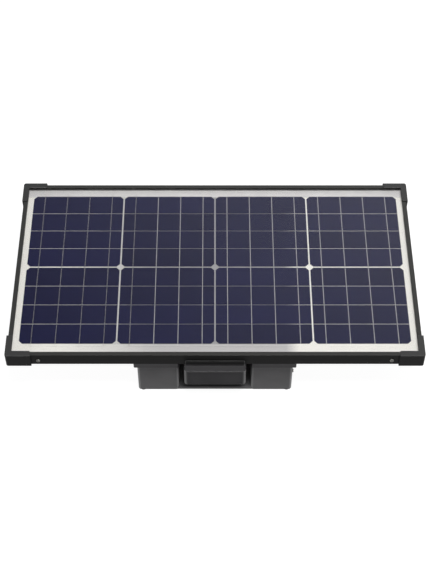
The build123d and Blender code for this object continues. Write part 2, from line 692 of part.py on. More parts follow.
def clamp_knob(sign):
    """A fluted knob on the end of a pivot bolt."""
    face = knob_face(sign)
    end = face - sign * KNOB_L
    knob = rod_x((face, end), BAIL_PIVOT_Y, BAIL_Z, KNOB_R)
    knob = fillet(knob.edges(), KNOB_EDGE_R)
    here = Pos(0, BAIL_PIVOT_Y, BAIL_Z)
    for flute in range(KNOB_FLUTES):
        length = (face - sign * KNOB_FLUTE_IN[0], end - sign * KNOB_FLUTE_IN[1])
        groove = rod_x(length, 0, KNOB_R + KNOB_FLUTE_OUT, KNOB_FLUTE_R)
        knob -= here * Rot(360 * flute / KNOB_FLUTES, 0, 0) * groove
    bore = (face + sign, face - sign * (KNOB_L - KNOB_END))
    return knob - rod_x(bore, BAIL_PIVOT_Y, BAIL_Z, PIVOT_R + RUN_CLEAR)


# ---- housing ----

def recessed_plan(inset, front, rear, half, outer_r, inner_r):
    """A rectangle with the hand recess cut from its front edge, all drawn in by inset."""
    x0, x1 = RECESS_X + inset, half - inset
    y0, y1, y2 = front + inset, RECESS_BACK + inset, rear - inset
    plan = make_face(Polyline((-x1, y0), (-x0, y0), (-x0, y1), (x0, y1), (x0, y0), (x1, y0),
                              (x1, y2), (-x1, y2), close=True))
    inner = [v for v in plan.vertices() if abs(v.Y - y1) < 0.01]
    plan = fillet(inner, inner_r + inset)
    outer = [v for v in plan.vertices() if abs(v.Y - y0) < 0.01 or abs(v.Y - y2) < 0.01]
    return fillet(outer, max(outer_r - inset, LEAST_R))


def prism(plan, z):
    return Pos(0, 0, z[0]) * extrude(plan, z[1] - z[0], dir=(0, 0, 1))


def front_screw_places():
    """Through the front rail's flange: two for the cover, two for the handle."""
    y = FRONT + FLANGE_MIDDLE
    cover = TUB_X - COVER_SCREW_IN
    handle = HANDLE_X - HANDLE_SCREW_IN
    return [(x, y) for x in (-cover, -handle, handle, cover)]


def housing_cover():
    """The lid with its rim, bolted up to the front rail and to the spacers."""
    z = (COVER_BOTTOM, RAIL_BOTTOM)
    plan = (FRONT, COVER_REAR, COVER_X, COVER_EDGE_R, TUB_INNER_R)
    shape = prism(recessed_plan(0, *plan), z)
    shape -= prism(recessed_plan(COVER_T, *plan), (COVER_BOTTOM - 1, COVER_UNDER))
    # The recess has no rim of its own: the tub's walls run up inside it.
    past = max(COVER_T, TUB_WALL) + BASE_CLEAR
    mouth = RECESS_X + past
    shape -= block((-mouth, mouth), (FRONT + COVER_T, RECESS_BACK + past),
                   (COVER_BOTTOM - 1, COVER_UNDER))
    through = (COVER_UNDER - 1, RAIL_BOTTOM + 1)
    for x, y in cover_screw_places() + tub_screw_places():
        shape -= post(x, y, through, M4[0] + THREAD_CLEAR)
    return shape - post(0, NECK_Y, through, NECK_R + NECK_SEAL)


def cover_screw_places():
    rail_row = [p for p in front_screw_places() if abs(p[0]) > RECESS_X]
    return rail_row + spacer_places()


def tub_screw_places():
    """Down through the cover into bosses on the tub's side walls, clear of the frame."""
    front = FRONT + FLANGE_W + BOSS_R + BOSS_SINK
    rear = MEMBER_Y - SPACER_L
    return [(sx * (TUB_X - BOSS_IN), y) for sx in (-1, 1) for y in (front, rear)]


def housing_screws():
    """One size of screw holds the tub to the cover, and the cover and handle to the frame."""
    down = pan_screw(M4, HOUSING_SCREW_L)
    up = Rot(180, 0, 0) * down
    tub = [Pos(x, y, RAIL_BOTTOM) * down for x, y in tub_screw_places()]
    cover = [Pos(x, y, COVER_UNDER) * up for x, y in cover_screw_places()]
    handle = [Pos(x, y, BAR_TOP - HANDLE_SHELF) * up for x, y in handle_screw_places()]
    return group(tub + cover + handle)


def tub_plan(inset):
    """The tub's outline with the hand recess, drawn in by inset."""
    return recessed_plan(inset, TUB_FRONT, TUB_REAR, TUB_X, TUB_EDGE_R, TUB_INNER_R)


def housing_gasket():
    z = (TUB_TOP, COVER_UNDER)
    return prism(tub_plan(BASE_CLEAR), z) - prism(tub_plan(TUB_WALL), (z[0] - 1, z[1] + 1))


def base_screw_places():
    x = TUB_X - BOSS_IN - BASE_BOSS_IN
    return [(sx * x, y) for sx in (-1, 1) for y in (TUB_FRONT + BOSS_IN, TUB_REAR - BOSS_IN)]


def housing_tub():
    """The moulded tub: open at the top, and at the bottom for the base plate. A low sill
    joins its two front pillars under the hand recess."""
    z = (TUB_BOTTOM, TUB_TOP)
    shape = prism(tub_plan(0), z) - prism(tub_plan(TUB_WALL), (z[0] - 1, z[1] + 1))
    for x, y in base_screw_places():
        shape += post(x, y, (BASE_TOP, BASE_TOP + BASE_BOSS_H), BOSS_R)
    for x, y in tub_screw_places():
        shape += post(x, y, (TUB_TOP - COVER_BOSS_H, TUB_TOP), BOSS_R)
    for x, y in base_screw_places():
        shape -= post(x, y, (BASE_TOP - 1, BASE_TOP + BASE_SCREW_DEEP), M3[0] + THREAD_CLEAR)
    for x, y in tub_screw_places():
        shape -= post(x, y, (RAIL_BOTTOM - HOUSING_SCREW_L, TUB_TOP + 1), M4[0] + THREAD_CLEAR)
    shape -= prism(base_outline(TUB_WALL), (TUB_BOTTOM - 1, BASE_TOP))
    sill = RECESS_X + TUB_EDGE_R
    shape += block((-sill, sill), (TUB_FRONT + SILL_IN, TUB_FRONT + TUB_WALL),
                   (TUB_BOTTOM, BASE_TOP + SILL_H))
    wall = (TUB_X - TUB_WALL - 1, TUB_X + 1)
    shape -= block(wall, (PLATE_Y[0] + LANDING_END, PLATE_Y[1] - LANDING_END),
                   (PLATE_Z[0] + LANDING_EDGE, PLATE_Z[1] - LANDING_EDGE))
    for y, z_hole in plate_screw_places():
        shape -= rod_x(wall, y, z_hole, M3[0] + THREAD_CLEAR)
    return shape


def base_outline(inset):
    """The base plate's plan: the tub's plan with the recess filled in."""
    x = TUB_X - inset
    y = (TUB_FRONT + inset, TUB_REAR - inset)
    plan = make_face(Polyline((-x, y[0]), (x, y[0]), (x, y[1]), (-x, y[1]), close=True))
    return fillet(plan.vertices(), max(TUB_EDGE_R - inset, LEAST_R))


def base_plate():
    shape = prism(base_outline(TUB_WALL + BASE_CLEAR), (TUB_BOTTOM, BASE_TOP))
    shape = chamfer(shape.edges().group_by(Axis.Z)[0], BASE_CHAMFER)
    for x, y in base_screw_places():
        shape -= post(x, y, (TUB_BOTTOM - 1, BASE_TOP + 1), M3[0] + THREAD_CLEAR)
        shape -= post(x, y, (TUB_BOTTOM - 1, TUB_BOTTOM + M3[2]), M3[1] + FACE_CLEAR)
    for x, y in board_holes() + strap_holes():
        shape -= post(x, y, (TUB_BOTTOM + BLIND, BASE_TOP + 1), M3[0] + THREAD_CLEAR)
    return shape


def plate_screw_places():
    """The socket plate's corners, as Y and Z."""
    return [(y, z) for y in (PLATE_Y[0] + PLATE_SCREW_IN, PLATE_Y[1] - PLATE_SCREW_IN)
            for z in (PLATE_Z[0] + PLATE_SCREW_IN, PLATE_Z[1] - PLATE_SCREW_IN)]


def case_screws():
    """One size of screw holds the base plate and the socket plate to the tub."""
    screw = pan_screw(M3, CASE_SCREW_L)
    base = [Pos(x, y, TUB_BOTTOM + M3[2]) * Rot(180, 0, 0) * screw
            for x, y in base_screw_places()]
    plate = [Pos(PLATE_FACE, y, z) * Rot(0, 90, 0) * screw for y, z in plate_screw_places()]
    return group(base + plate)


def rubber_feet():
    feet = []
    for sx in (-1, 1):
        for y in (TUB_FRONT + FOOT_IN, TUB_REAR - FOOT_IN):
            foot = post(sx * FOOT_X, y, (GROUND, TUB_BOTTOM), FOOT_R)
            feet.append(fillet(foot.edges().group_by(Axis.Z)[0], FOOT_EDGE_R))
    return group(feet)


# ---- grab handle ----

def grip_recess(sink, gap):
    """The space on the bar's face for the soft grip, sink deep and gap smaller all round."""
    x = HANDLE_X - GRIP_MARGIN - gap
    z = (BAR_BOTTOM + GRIP_BOTTOM + gap, BAR_TOP - GRIP_TOP - gap)
    pad = block((-x, x), (BAR_FRONT + sink, BAR_FRONT + GRIP_DEPTH), z)
    return fillet(pad.edges().filter_by(Axis.Y), GRIP_CORNER_R - gap)


def handle_arch():
    """Bar, arms and shelf, with a tab that laps the front of the rail."""
    bar = block((-HANDLE_X, HANDLE_X), (BAR_FRONT, BAR_BACK), (BAR_BOTTOM, BAR_TOP))
    shelf_z = (BAR_TOP - HANDLE_SHELF, BAR_TOP)
    shelf = block((-HANDLE_X, HANDLE_X), (BAR_BACK - 1, RECESS_BACK), shelf_z)
    pad_z = (BAR_TOP - 1, RAIL_BOTTOM)
    seat = block((-HANDLE_X, HANDLE_X), (FRONT, FRONT + FLANGE_W), pad_z)
    shape = bar + shelf + seat
    for sign in (-1, 1):
        arm_x = (sign * HANDLE_X, sign * (HANDLE_X - HANDLE_ARM))
        shape += block(arm_x, (BAR_BACK - 1, RECESS_BACK), (BAR_TOP - HANDLE_ARM_H, BAR_TOP))
    corners = [e for sx in (-1, 1) for e in upright(shape, sx * HANDLE_X, BAR_FRONT)]
    shape = fillet(corners, HANDLE_CORNER_R)
    front = [e for e in shape.edges() if e.center().Y < BAR_FRONT + HANDLE_CORNER_R
             and abs(e.tangent_at(0.5).Z) < 0.1]
    shape = fillet(front, HANDLE_EDGE_R)
    shape -= grip_recess(-1, 0)
    for x, y in handle_screw_places():
        shape -= post(x, y, (BAR_TOP - HANDLE_SHELF - 1, RAIL_BOTTOM + 1), M4[0] + THREAD_CLEAR)
    return shape + handle_tab()


def handle_tab():
    """A thin wall up the rail's face, rounded at its top corners and outer edges."""
    y = (FRONT - TAB_T, FRONT)
    tab = block((-TAB_X, TAB_X), y, (BAR_TOP - HANDLE_SHELF, RAIL_BOTTOM + TAB_RISE))
    tops = [e for e in tab.edges().filter_by(Axis.Y) if e.center().Z > RAIL_BOTTOM]
    tab = fillet(tops, TAB_R)
    faces = [e for e in tab.edges() if abs(e.center().Y - y[0]) < 0.01
             and e.center().Z > RAIL_BOTTOM - 5]
    return fillet(faces, TAB_EDGE_R)


def handle_screw_places():
    return [p for p in front_screw_places() if abs(p[0]) < RECESS_X]


def handle_grip():
    """The soft pad in the bar's face, a little below its rim."""
    return grip_recess(GRIP_SINK, GRIP_CLEAR)


# ---- junction box ----

def junction_block(z):
    """The junction box's rounded outline between two levels."""
    shape = block((-JBOX_X, JBOX_X), JBOX_Y, z)
    return fillet(shape.edges().filter_by(Axis.Z), JBOX_CORNER_R)


def junction_box():
    low = JBOX_FLOOR + JBOX_LID_T
    inside = block((-JBOX_X + JBOX_WALL, JBOX_X - JBOX_WALL),
                   (JBOX_Y[0] + JBOX_WALL, JBOX_Y[1] - JBOX_WALL),
                   (low - 1, LAMINATE_BOTTOM - JBOX_WALL))
    return junction_block((low, LAMINATE_BOTTOM)) - inside


def junction_lid():
    """The lid, with the neck that carries the leads down into the housing."""
    top = JBOX_FLOOR + JBOX_LID_T
    shape = junction_block((JBOX_FLOOR, top)) + post(0, NECK_Y, (NECK_BOTTOM, JBOX_FLOOR), NECK_R)
    return shape - post(0, NECK_Y, (NECK_BOTTOM - 1, top + 1), NECK_BORE)


def neck_seal():
    ring = post(0, NECK_Y, (COVER_UNDER, RAIL_BOTTOM), NECK_R + NECK_SEAL)
    return ring - post(0, NECK_Y, (COVER_UNDER - 1, RAIL_BOTTOM + 1), NECK_R)


def bypass_diodes():
    z = LAMINATE_BOTTOM - JBOX_WALL - DIODE_R
    return group(rod_x((x - DIODE_L / 2, x + DIODE_L / 2), JBOX_Y[1] - DIODE_IN, z, DIODE_R)
                 for x in (-DIODE_X, DIODE_X))


def panel_leads():
    """The positive and negative leads from the junction box down to the board."""
    top = LAMINATE_BOTTOM - JBOX_WALL
    bottom = BOARD_TOP + TERMINAL[2] - LEAD_SINK
    return group(post(sx * LEAD_X, NECK_Y, (bottom, top), LEAD_R) for sx in (-1, 1))


# ---- inside the housing ----

def battery_pack():
    z = BASE_TOP
    shape = block((-PACK[0] / 2, PACK[0] / 2), (PACK_Y - PACK[1] / 2, PACK_Y + PACK[1] / 2),
                  (z, z + PACK[2]))
    return fillet(shape.edges().filter_by(Axis.X), PACK_R)


def strap_holes():
    return [(sx * (PACK[0] / 2 + STRAP_GAP + STRAP_T + STRAP_FOOT / 2), PACK_Y)
            for sx in (-1, 1)]


def battery_strap():
    """A pressed strap over the pack, screwed down at both ends."""
    inside = PACK[0] / 2 + STRAP_GAP
    top = BASE_TOP + PACK[2]
    y = (PACK_Y - STRAP_W / 2, PACK_Y + STRAP_W / 2)
    shape = block((-inside, inside), y, (top, top + STRAP_T))
    for sign in (-1, 1):
        leg = (sign * inside, sign * (inside + STRAP_T))
        foot = (sign * inside, sign * (inside + STRAP_T + STRAP_FOOT))
        shape += block(leg, y, (BASE_TOP, top + STRAP_T))
        shape += block(foot, y, (BASE_TOP, BASE_TOP + STRAP_T))
    for x, y_hole in strap_holes():
        shape -= post(x, y_hole, (BASE_TOP - 1, BASE_TOP + 3), M3[0] + THREAD_CLEAR)
    return shape


def strap_screws():
    return group(Pos(x, y, BASE_TOP + STRAP_T) * pan_screw(M3, STRAP_T + BASE_T - BLIND)
                 for x, y in strap_holes())


def board_holes():
    x = BOARD[0] / 2 - BOARD_HOLE_IN
    y = BOARD[1] / 2 - BOARD_HOLE_IN
    return [(sx * x, BOARD_Y + sy * y) for sx, sy in CORNERS]


def controller_board():
    shape = block((-BOARD[0] / 2, BOARD[0] / 2), (BOARD_Y - BOARD[1] / 2, BOARD_Y + BOARD[1] / 2),
                  (BOARD_BOTTOM, BOARD_TOP))
    for x, y in board_holes():
        shape -= post(x, y, (BOARD_BOTTOM - 1, BOARD_TOP + 1), M3[0] + THREAD_CLEAR)
    return shape


def board_standoffs():
    """Hollow pillars between the base plate and the board."""
    return group(post(x, y, (BASE_TOP, BOARD_BOTTOM), STANDOFF_R)
                 - post(x, y, (BASE_TOP - 1, BOARD_BOTTOM + 1), M3[0] + THREAD_CLEAR)
                 for x, y in board_holes())


def board_screws():
    """Long screws through the board and its pillars into the base plate."""
    length = BOARD[2] + BOARD_UP + BASE_T - BLIND
    return group(Pos(x, y, BOARD_TOP) * pan_screw(M3, length) for x, y in board_holes())


def terminal_block():
    """The block under the neck that takes the panel's two leads."""
    x, y, height = TERMINAL
    top = BOARD_TOP + height
    shape = block((-x / 2, x / 2), (NECK_Y - y / 2, NECK_Y + y / 2), (BOARD_TOP, top))
    for sx in (-1, 1):
        shape -= post(sx * LEAD_X, NECK_Y, (top - LEAD_SINK, top + 1), LEAD_R)
    return chamfer(shape.edges().group_by(Axis.Z)[-1].filter_by(Axis.X), TERMINAL_CHAMFER)


def board_parts():
    """The tall parts on the board: a coil and three capacitors."""
    radius, bore, height = COIL
    x = COIL_IN - BOARD[0] / 2
    y = BOARD_Y + COIL_BACK
    coil = post(x, y, (BOARD_TOP, BOARD_TOP + height), radius)
    coil -= post(x, y, (BOARD_TOP - 1, BOARD_TOP + height + 1), bore)
    y = BOARD_Y + BOARD[1] / 2 - CAN_IN
    cans = [post(n * CAN_PITCH, y, (BOARD_TOP, BOARD_TOP + CAN[1]), CAN[0]) for n in (-1, 0, 1)]
    return group([coil] + [fillet(can.edges().group_by(Axis.Z)[-1], CAN_EDGE_R) for can in cans])


def heat_sink():
    """An extruded sink with upright fins, at the right-hand end of the board."""
    x, y, height = SINK
    x1 = BOARD[0] / 2 - SINK_IN
    x0 = x1 - x
    middle = BOARD_Y + SINK_BACK
    depth = (middle - y / 2, middle + y / 2)
    shape = block((x0, x1), depth, (BOARD_TOP, BOARD_TOP + SINK_BASE))
    for fin in range(SINK_FINS):
        left = x0 + fin * (x - FIN_T) / (SINK_FINS - 1)
        shape += block((left, left + FIN_T), depth, (BOARD_TOP, BOARD_TOP + height))
    return shape


# ---- sockets, caps and button ----

def usb_window(x):
    """The small socket's outline through a wall."""
    half_y, half_z = [size / 2 for size in USB_SIZE]
    return block(x, (USB_Y - half_y, USB_Y + half_y), (SOCKET_Z - half_z, SOCKET_Z + half_z))


def socket_plate():
    """The plate over the tub's window, with the knuckles for the two caps' pins."""
    through = (TUB_X - 1, PLATE_FACE + 1)
    shape = block((TUB_X, PLATE_FACE), PLATE_Y, PLATE_Z)
    shape = fillet(shape.edges().filter_by(Axis.X), PLATE_R)
    shape -= rod_x(through, SOCKET_Y, SOCKET_Z, SOCKET_R + RUN_CLEAR)
    shape -= usb_window(through)
    shape -= rod_x(through, BUTTON_Y, BUTTON_Z, BUTTON_R + FACE_CLEAR)
    shape -= rod_x(through, BUTTON_Y, LAMP_Z, LAMP_R)
    for y, z in plate_screw_places():
        shape -= rod_x(through, y, z, M3[0] + THREAD_CLEAR)
    reach = CAP_KNUCKLE_L / 2 + FACE_CLEAR + CAP_LUG_L
    for y in cap_pin_ys():
        width = (y - CAP_KNUCKLE_R, y + CAP_KNUCKLE_R)
        for sign in (-1, 1):
            z = (SOCKET_Z + sign * (reach - CAP_LUG_L), SOCKET_Z + sign * reach)
            shape += post(cap_pin_x(), y, z, CAP_KNUCKLE_R)
            shape += block((PLATE_FACE - 0.5, cap_pin_x()), width, z)
        shape -= post(cap_pin_x(), y, (SOCKET_Z - reach - 1, SOCKET_Z + reach + 1), CAP_PIN_R)
    return shape


def cap_pin_x():
    return PLATE_FACE + CAP_KNUCKLE_R + FACE_CLEAR


def cap_pin_ys():
    """Each cap's pin stands just past the rear edge of the cap."""
    return [y + size[0] / 2 + CAP_KNUCKLE_R + CAP_PIN_GAP
            for y, size in ((SOCKET_Y, CAP_SOCKET), (USB_Y, CAP_USB))]


def socket_cap(y, size, pin_y):
    """A sealing cap: its lid over the socket, its knuckle on the pin, and a finger lip."""
    x = (PLATE_FACE + CAP_GAP, PLATE_FACE + CAP_GAP + CAP_T)
    z = (SOCKET_Z - size[1] / 2, SOCKET_Z + size[1] / 2)
    lid = block(x, (y - size[0] / 2, y + size[0] / 2), z)
    lid = fillet(lid.edges().filter_by(Axis.X), size[2])
    lid = fillet(lid.edges().group_by(Axis.X)[-1], CAP_EDGE_R)
    knuckle_z = (SOCKET_Z - CAP_KNUCKLE_L / 2, SOCKET_Z + CAP_KNUCKLE_L / 2)
    shape = lid + block(x, (y + size[0] / 2 - CAP_LAP, pin_y), knuckle_z)
    shape += post(cap_pin_x(), pin_y, knuckle_z, CAP_KNUCKLE_R)
    proud, thick, length = CAP_LIP
    free = y - size[0] / 2 + CAP_LIP_IN
    shape += block((x[1] - 1, x[1] + proud), (free, free + thick),
                   (SOCKET_Z - length / 2, SOCKET_Z + length / 2))
    return shape - post(cap_pin_x(), pin_y, z, CAP_PIN_R + RUN_CLEAR)


def cap_pins():
    reach = CAP_KNUCKLE_L / 2 + FACE_CLEAR + CAP_LUG_L
    return group(post(cap_pin_x(), y, (SOCKET_Z - reach, SOCKET_Z + reach), CAP_PIN_R)
                 for y in cap_pin_ys())


def power_socket():
    """The barrel socket behind its cap, with a flange behind the plate."""
    back = PLATE_FACE - SOCKET_L
    pin_r, pin_l = SOCKET_PIN
    shape = rod_x((back, PLATE_FACE), SOCKET_Y, SOCKET_Z, SOCKET_R)
    shape += rod_x((TUB_X - PLATE_T, TUB_X), SOCKET_Y, SOCKET_Z, SOCKET_R + SOCKET_FLANGE)
    shape -= rod_x((back + SOCKET_FLOOR, PLATE_FACE + 1), SOCKET_Y, SOCKET_Z, SOCKET_BORE)
    return shape + rod_x((back, back + pin_l), SOCKET_Y, SOCKET_Z, pin_r)


def usb_socket():
    """A pair of small rectangular sockets in one block."""
    shape = usb_window((PLATE_FACE - USB_L, PLATE_FACE))
    port_y, port_z = [size / 2 for size in USB_PORT]
    tongue_y, tongue_z = [size / 2 for size in USB_TONGUE]
    for z in (SOCKET_Z - USB_PITCH / 2, SOCKET_Z + USB_PITCH / 2):
        shape -= block((PLATE_FACE - USB_DEEP, PLATE_FACE + 1),
                       (USB_Y - port_y, USB_Y + port_y), (z - port_z, z + port_z))
        shape += block((PLATE_FACE - USB_DEEP, PLATE_FACE - USB_TONGUE_IN),
                       (USB_Y - tongue_y, USB_Y + tongue_y), (z - tongue_z, z + tongue_z))
    return shape


def button_back():
    """The inner face of the button's flange."""
    return TUB_X - FACE_CLEAR - BUTTON_FLANGE[1]


def power_button():
    """The push button: a cap through the plate and a flange that keeps it in."""
    cap = rod_x((TUB_X - 1, PLATE_FACE + BUTTON_PROUD), BUTTON_Y, BUTTON_Z, BUTTON_R)
    cap = fillet(cap.edges().group_by(Axis.X)[-1], BUTTON_EDGE_R)
    flange_x = (button_back(), TUB_X - FACE_CLEAR)
    return cap + rod_x(flange_x, BUTTON_Y, BUTTON_Z, BUTTON_R + BUTTON_FLANGE[0])


def switch_body():
    """The switch behind the button, clear of its travel."""
    face = button_back() - BUTTON_TRAVEL - CAP_GAP
    half = SWITCH[1] / 2
    return block((face - SWITCH[0], face), (BUTTON_Y - half, BUTTON_Y + half),
                 (BUTTON_Z - half, BUTTON_Z + half))


def lamp_lens():
    lens = rod_x((TUB_X - TUB_WALL, PLATE_FACE + LAMP_PROUD), BUTTON_Y, LAMP_Z, LAMP_R)
    return fillet(lens.edges().group_by(Axis.X)[-1], LAMP_EDGE_R)


PIN_YS = cap_pin_ys()
PARTS = {
    "glass_cover": laminate_sheet(GLASS_BOTTOM, GLASS_TOP, chamfered=True),
    "encapsulant_front": laminate_sheet(RIBBON_T, GLASS_BOTTOM),
    "solar_cells": solar_cells(),
    "cell_ribbons": cell_ribbons(),
    "bus_ribbons": bus_ribbons(),
    "encapsulant_rear": laminate_sheet(BACKSHEET_TOP, REAR_SHEET_TOP),
    "backsheet": laminate_sheet(LAMINATE_BOTTOM, BACKSHEET_TOP),
    "edge_seal": edge_seal(),
    "rail_front": long_rail(-1),
    "rail_rear": long_rail(1),
    "rail_left": side_rail(-1),
    "rail_right": side_rail(1),
    "corner_keys": corner_keys(),
    "frame_screws": frame_screws(),
    "guard_front_left": corner_guard(-1, -1),
    "guard_front_right": corner_guard(1, -1),
    "guard_rear_left": corner_guard(-1, 1),
    "guard_rear_right": corner_guard(1, 1),
    "guard_screws": guard_screws(),
    "cross_member": cross_member(),
    "cover_spacers": cover_spacers(),
    "stand_bail": stand_bail(),
    "bail_plugs": bail_plugs(),
    "bail_sleeves": bail_sleeves(),
    "pivot_bolts": pivot_bolts(),
    "pivot_spacers": pivot_spacers(),
    "clamp_knob_left": clamp_knob(-1),
    "clamp_knob_right": clamp_knob(1),
    "housing_cover": housing_cover(),
    "housing_screws": housing_screws(),
    "housing_gasket": housing_gasket(),
    "housing_tub": housing_tub(),
    "base_plate": base_plate(),
    "case_screws": case_screws(),
    "rubber_feet": rubber_feet(),
    "handle_arch": handle_arch(),
    "handle_grip": handle_grip(),
    "junction_box": junction_box(),
    "junction_lid": junction_lid(),
    "neck_seal": neck_seal(),
    "bypass_diodes": bypass_diodes(),
    "panel_leads": panel_leads(),
    "battery_pack": battery_pack(),
    "battery_strap": battery_strap(),
    "strap_screws": strap_screws(),
    "controller_board": controller_board(),
    "board_standoffs": board_standoffs(),
    "board_screws": board_screws(),
    "terminal_block": terminal_block(),
    "board_parts": board_parts(),
    "heat_sink": heat_sink(),
    "socket_plate": socket_plate(),
    "power_socket": power_socket(),
    "usb_socket": usb_socket(),
    "socket_cap": socket_cap(SOCKET_Y, CAP_SOCKET, PIN_YS[0]),
    "usb_cap": socket_cap(USB_Y, CAP_USB, PIN_YS[1]),
    "cap_pins": cap_pins(),
    "power_button": power_button(),
    "switch_body": switch_body(),
    "lamp_lens": lamp_lens(),
}

os.makedirs("parts", exist_ok=True)
MIDDLE_Y = (BAR_FRONT + REAR + GUARD_WALL) / 2
TO_ORIGIN = Location((0, -MIDDLE_Y, -GROUND))
for name, shape in PARTS.items():
    placed = shape.moved(TO_ORIGIN)
    placed.label = name
    export_step(placed, f"parts/{name}.step")
print(len(PARTS), "pieces; origin shift", -MIDDLE_Y, -GROUND)
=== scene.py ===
"""Looks for a portable solar panel with a power housing under its front edge."""

import math

import bpy
from bpy.props import FloatProperty, FloatVectorProperty, PointerProperty
from bpy.types import Operator, Panel, PropertyGroup
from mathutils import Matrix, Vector


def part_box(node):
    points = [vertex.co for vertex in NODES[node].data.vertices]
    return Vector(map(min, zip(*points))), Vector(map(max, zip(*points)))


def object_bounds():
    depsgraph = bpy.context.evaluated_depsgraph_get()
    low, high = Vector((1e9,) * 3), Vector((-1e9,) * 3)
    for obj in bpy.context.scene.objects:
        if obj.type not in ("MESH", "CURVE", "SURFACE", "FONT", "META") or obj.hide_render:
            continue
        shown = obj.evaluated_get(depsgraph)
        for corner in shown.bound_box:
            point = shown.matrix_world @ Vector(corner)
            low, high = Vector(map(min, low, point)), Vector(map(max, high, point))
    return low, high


bl_info = {
    "name": "Solar panel finishes",
    "version": (1, 0, 0),
    "blender": (4, 5, 0),
    "location": "3D View > Sidebar > Solar panel",
    "description": "Finishes and studio for a portable solar panel",
    "category": "Material",
}

MM = 0.001
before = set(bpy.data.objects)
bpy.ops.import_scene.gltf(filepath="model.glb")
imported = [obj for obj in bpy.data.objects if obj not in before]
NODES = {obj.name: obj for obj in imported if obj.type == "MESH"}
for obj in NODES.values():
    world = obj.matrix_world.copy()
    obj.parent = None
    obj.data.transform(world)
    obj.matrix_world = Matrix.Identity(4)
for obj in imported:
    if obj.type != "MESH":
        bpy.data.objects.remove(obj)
CAD_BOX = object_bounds()

# The cells, whose strips the coating's colours follow.
CELL_COLUMNS = 4
CELL_ROWS = 2
STRIPS_PER_CELL = 4
CELL_GAP = 2.5 * MM
FIELD_LOW, FIELD_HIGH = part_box("solar_cells")
FIELD_MIDDLE = (FIELD_LOW + FIELD_HIGH) / 2
GLASS_LOW, GLASS_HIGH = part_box("glass_cover")

# How each finish meets light. A fully matt or finely textured face mirrors less than its
# smooth material would, so some of these are under the typical 1.5.
GLASS_IOR = 1.5
PLASTIC_IOR = 1.5
RUBBER_IOR = 1.5
TEXTURED_NYLON_IOR = 1.35
WHITE_FILM_IOR = 1.45
ANODISED_IOR = 1.3
COATED_CELL_IOR = 1.1

# Sizes of the patterns, across one blotch, line or ripple.
FLOW_MOTTLE = 35 * MM
DIE_LINE_LENGTH = 400 * MM
BATH_BLOOM = 60 * MM
RUBBER_BLOOM = 6 * MM
ROLLER_WAVE = 90 * MM
FILM_HAZE = 25 * MM
COATING_HAZE = 12 * MM
COATING_CLOUD = 45 * MM
MELT_FLOW = 30 * MM
SOLDER_PUDDLE = 3 * MM
SOLDER_STRETCH = 0.1
# Die lines are about 0.3 mm apart; drawn at 1.2 mm so that they show.
DIE_LINES = 1.2 * MM
# A wave texture of scale 1 repeats at this distance, a tenth of pi. A finger is printed
# where the wave is above its edge, and hides this share of the coating at its middle.
WAVE_PERIOD = 0.31416
FINGER_EDGE = 0.75
FINGER_STRENGTH = 0.22

# Depths of the fine relief.
TOOL_TEXTURE_DEPTH = 0.06 * MM
DIE_LINE_DEPTH = 0.02 * MM

# Painted top light grows on faces by how far they look up, where 1 is level.
TOP_LIGHT_STARTS = 0.35
TOP_LIGHT_FULL = 0.95
# A painted highlight lies on an edge by the product of its normal's two parts, which is 0.5 at 45
# degrees.
EDGE_HIGHLIGHT_STARTS = 0.15
EDGE_HIGHLIGHT_FULL = 0.45

# Painted light on the front margin grows over these distances from the middle of the cells.
BRIGHT_LEFT = (90 * MM, 250 * MM)
BRIGHT_RIGHT = (115 * MM, 135 * MM)
MARGIN_FADE = 2 * MM
PAINT_FADE = 0.5 * MM
# Painted shade covers the handle's arch above this height over the foot of the front rail.
TAB_ABOVE_RAIL_FOOT = 1 * MM

# Sight passes six faces of glass and film, and so does the light that comes back.
GLAZING_BOUNCES = 24

# The floor reaches this many metres each way. Its own glow is for the camera and for what
# mirrors it, and the second kind grows from in front of the panel to under it.
FLOOR_REACH = 30
FLOOR_SEEN = 0.94
FLOOR_MIRRORED_OUTSIDE = 0.2
FLOOR_MIRRORED_UNDER = 0.5
UNDER_STARTS = CAD_BOX[0].y - 14.2 * MM
UNDER_FULL = CAD_BOX[0].y + 0.8 * MM

# The softbox: its place, half its sides, and its glow in the middle and per metre.
SOFTBOX_PLACE = (0, 1.62, 2.1)
SOFTBOX_HALF = (1.6, 0.9)
SOFTBOX_GLOW = 0.50
SOFTBOX_GLOW_ACROSS = 1.75
SOFTBOX_GLOW_AWAY = 3.9
SOFTBOX_MOST = 3.0

# The lamps: name, place, width of the disk, and which of the studio's powers it has.
LAMPS = (
    ("key_light", (0.2, -0.5, 2.4), 0.8, "key_power"),
    ("left_light", (-2.5, -0.4, 0.5), 0.9, "side_power"),
    ("right_light", (2.5, -0.4, 0.5), 0.9, "side_power"),
    ("front_light", (0.0, -3.0, 1.0), 1.5, "front_power"),
)

# The camera's sensor in millimetres, and how far it sees in metres.
SENSOR_WIDTH = 36
VIEW_REACH = 100

# A mix node's colour sockets share their names with its number sockets, so they are
# called by their places.
MIX_FIRST = 6
MIX_SECOND = 7
MIX_RESULT = 2


def linear(code):
    """An sRGB hex colour, such as '1e1f41', as linear red, green, blue and alpha."""
    channels = [int(code[i:i + 2], 16) / 255 for i in (0, 2, 4)]
    return [c / 12.92 if c <= 0.04045 else ((c + 0.055) / 1.055) ** 2.4 for c in channels] + [1.0]


def shaded(colour, share):
    """A colour made lighter by a share of itself, or darker by a negative share."""
    return [channel * (1 + share) for channel in colour[:3]] + [1.0]


def add_node(tree, kind, inputs=None, **settings):
    """Add a node, set its properties, and set or link its inputs."""
    node = tree.nodes.new(kind)
    for name, value in settings.items():
        setattr(node, name, value)
    for socket, value in (inputs or {}).items():
        if isinstance(value, bpy.types.NodeSocket):
            tree.links.new(value, node.inputs[socket])
        else:
            node.inputs[socket].default_value = value
    return node


def new_material(name):
    """A material with no nodes yet, and its node tree."""
    material = bpy.data.materials.new(name)
    material.use_nodes = True
    material.node_tree.nodes.clear()
    return material, material.node_tree


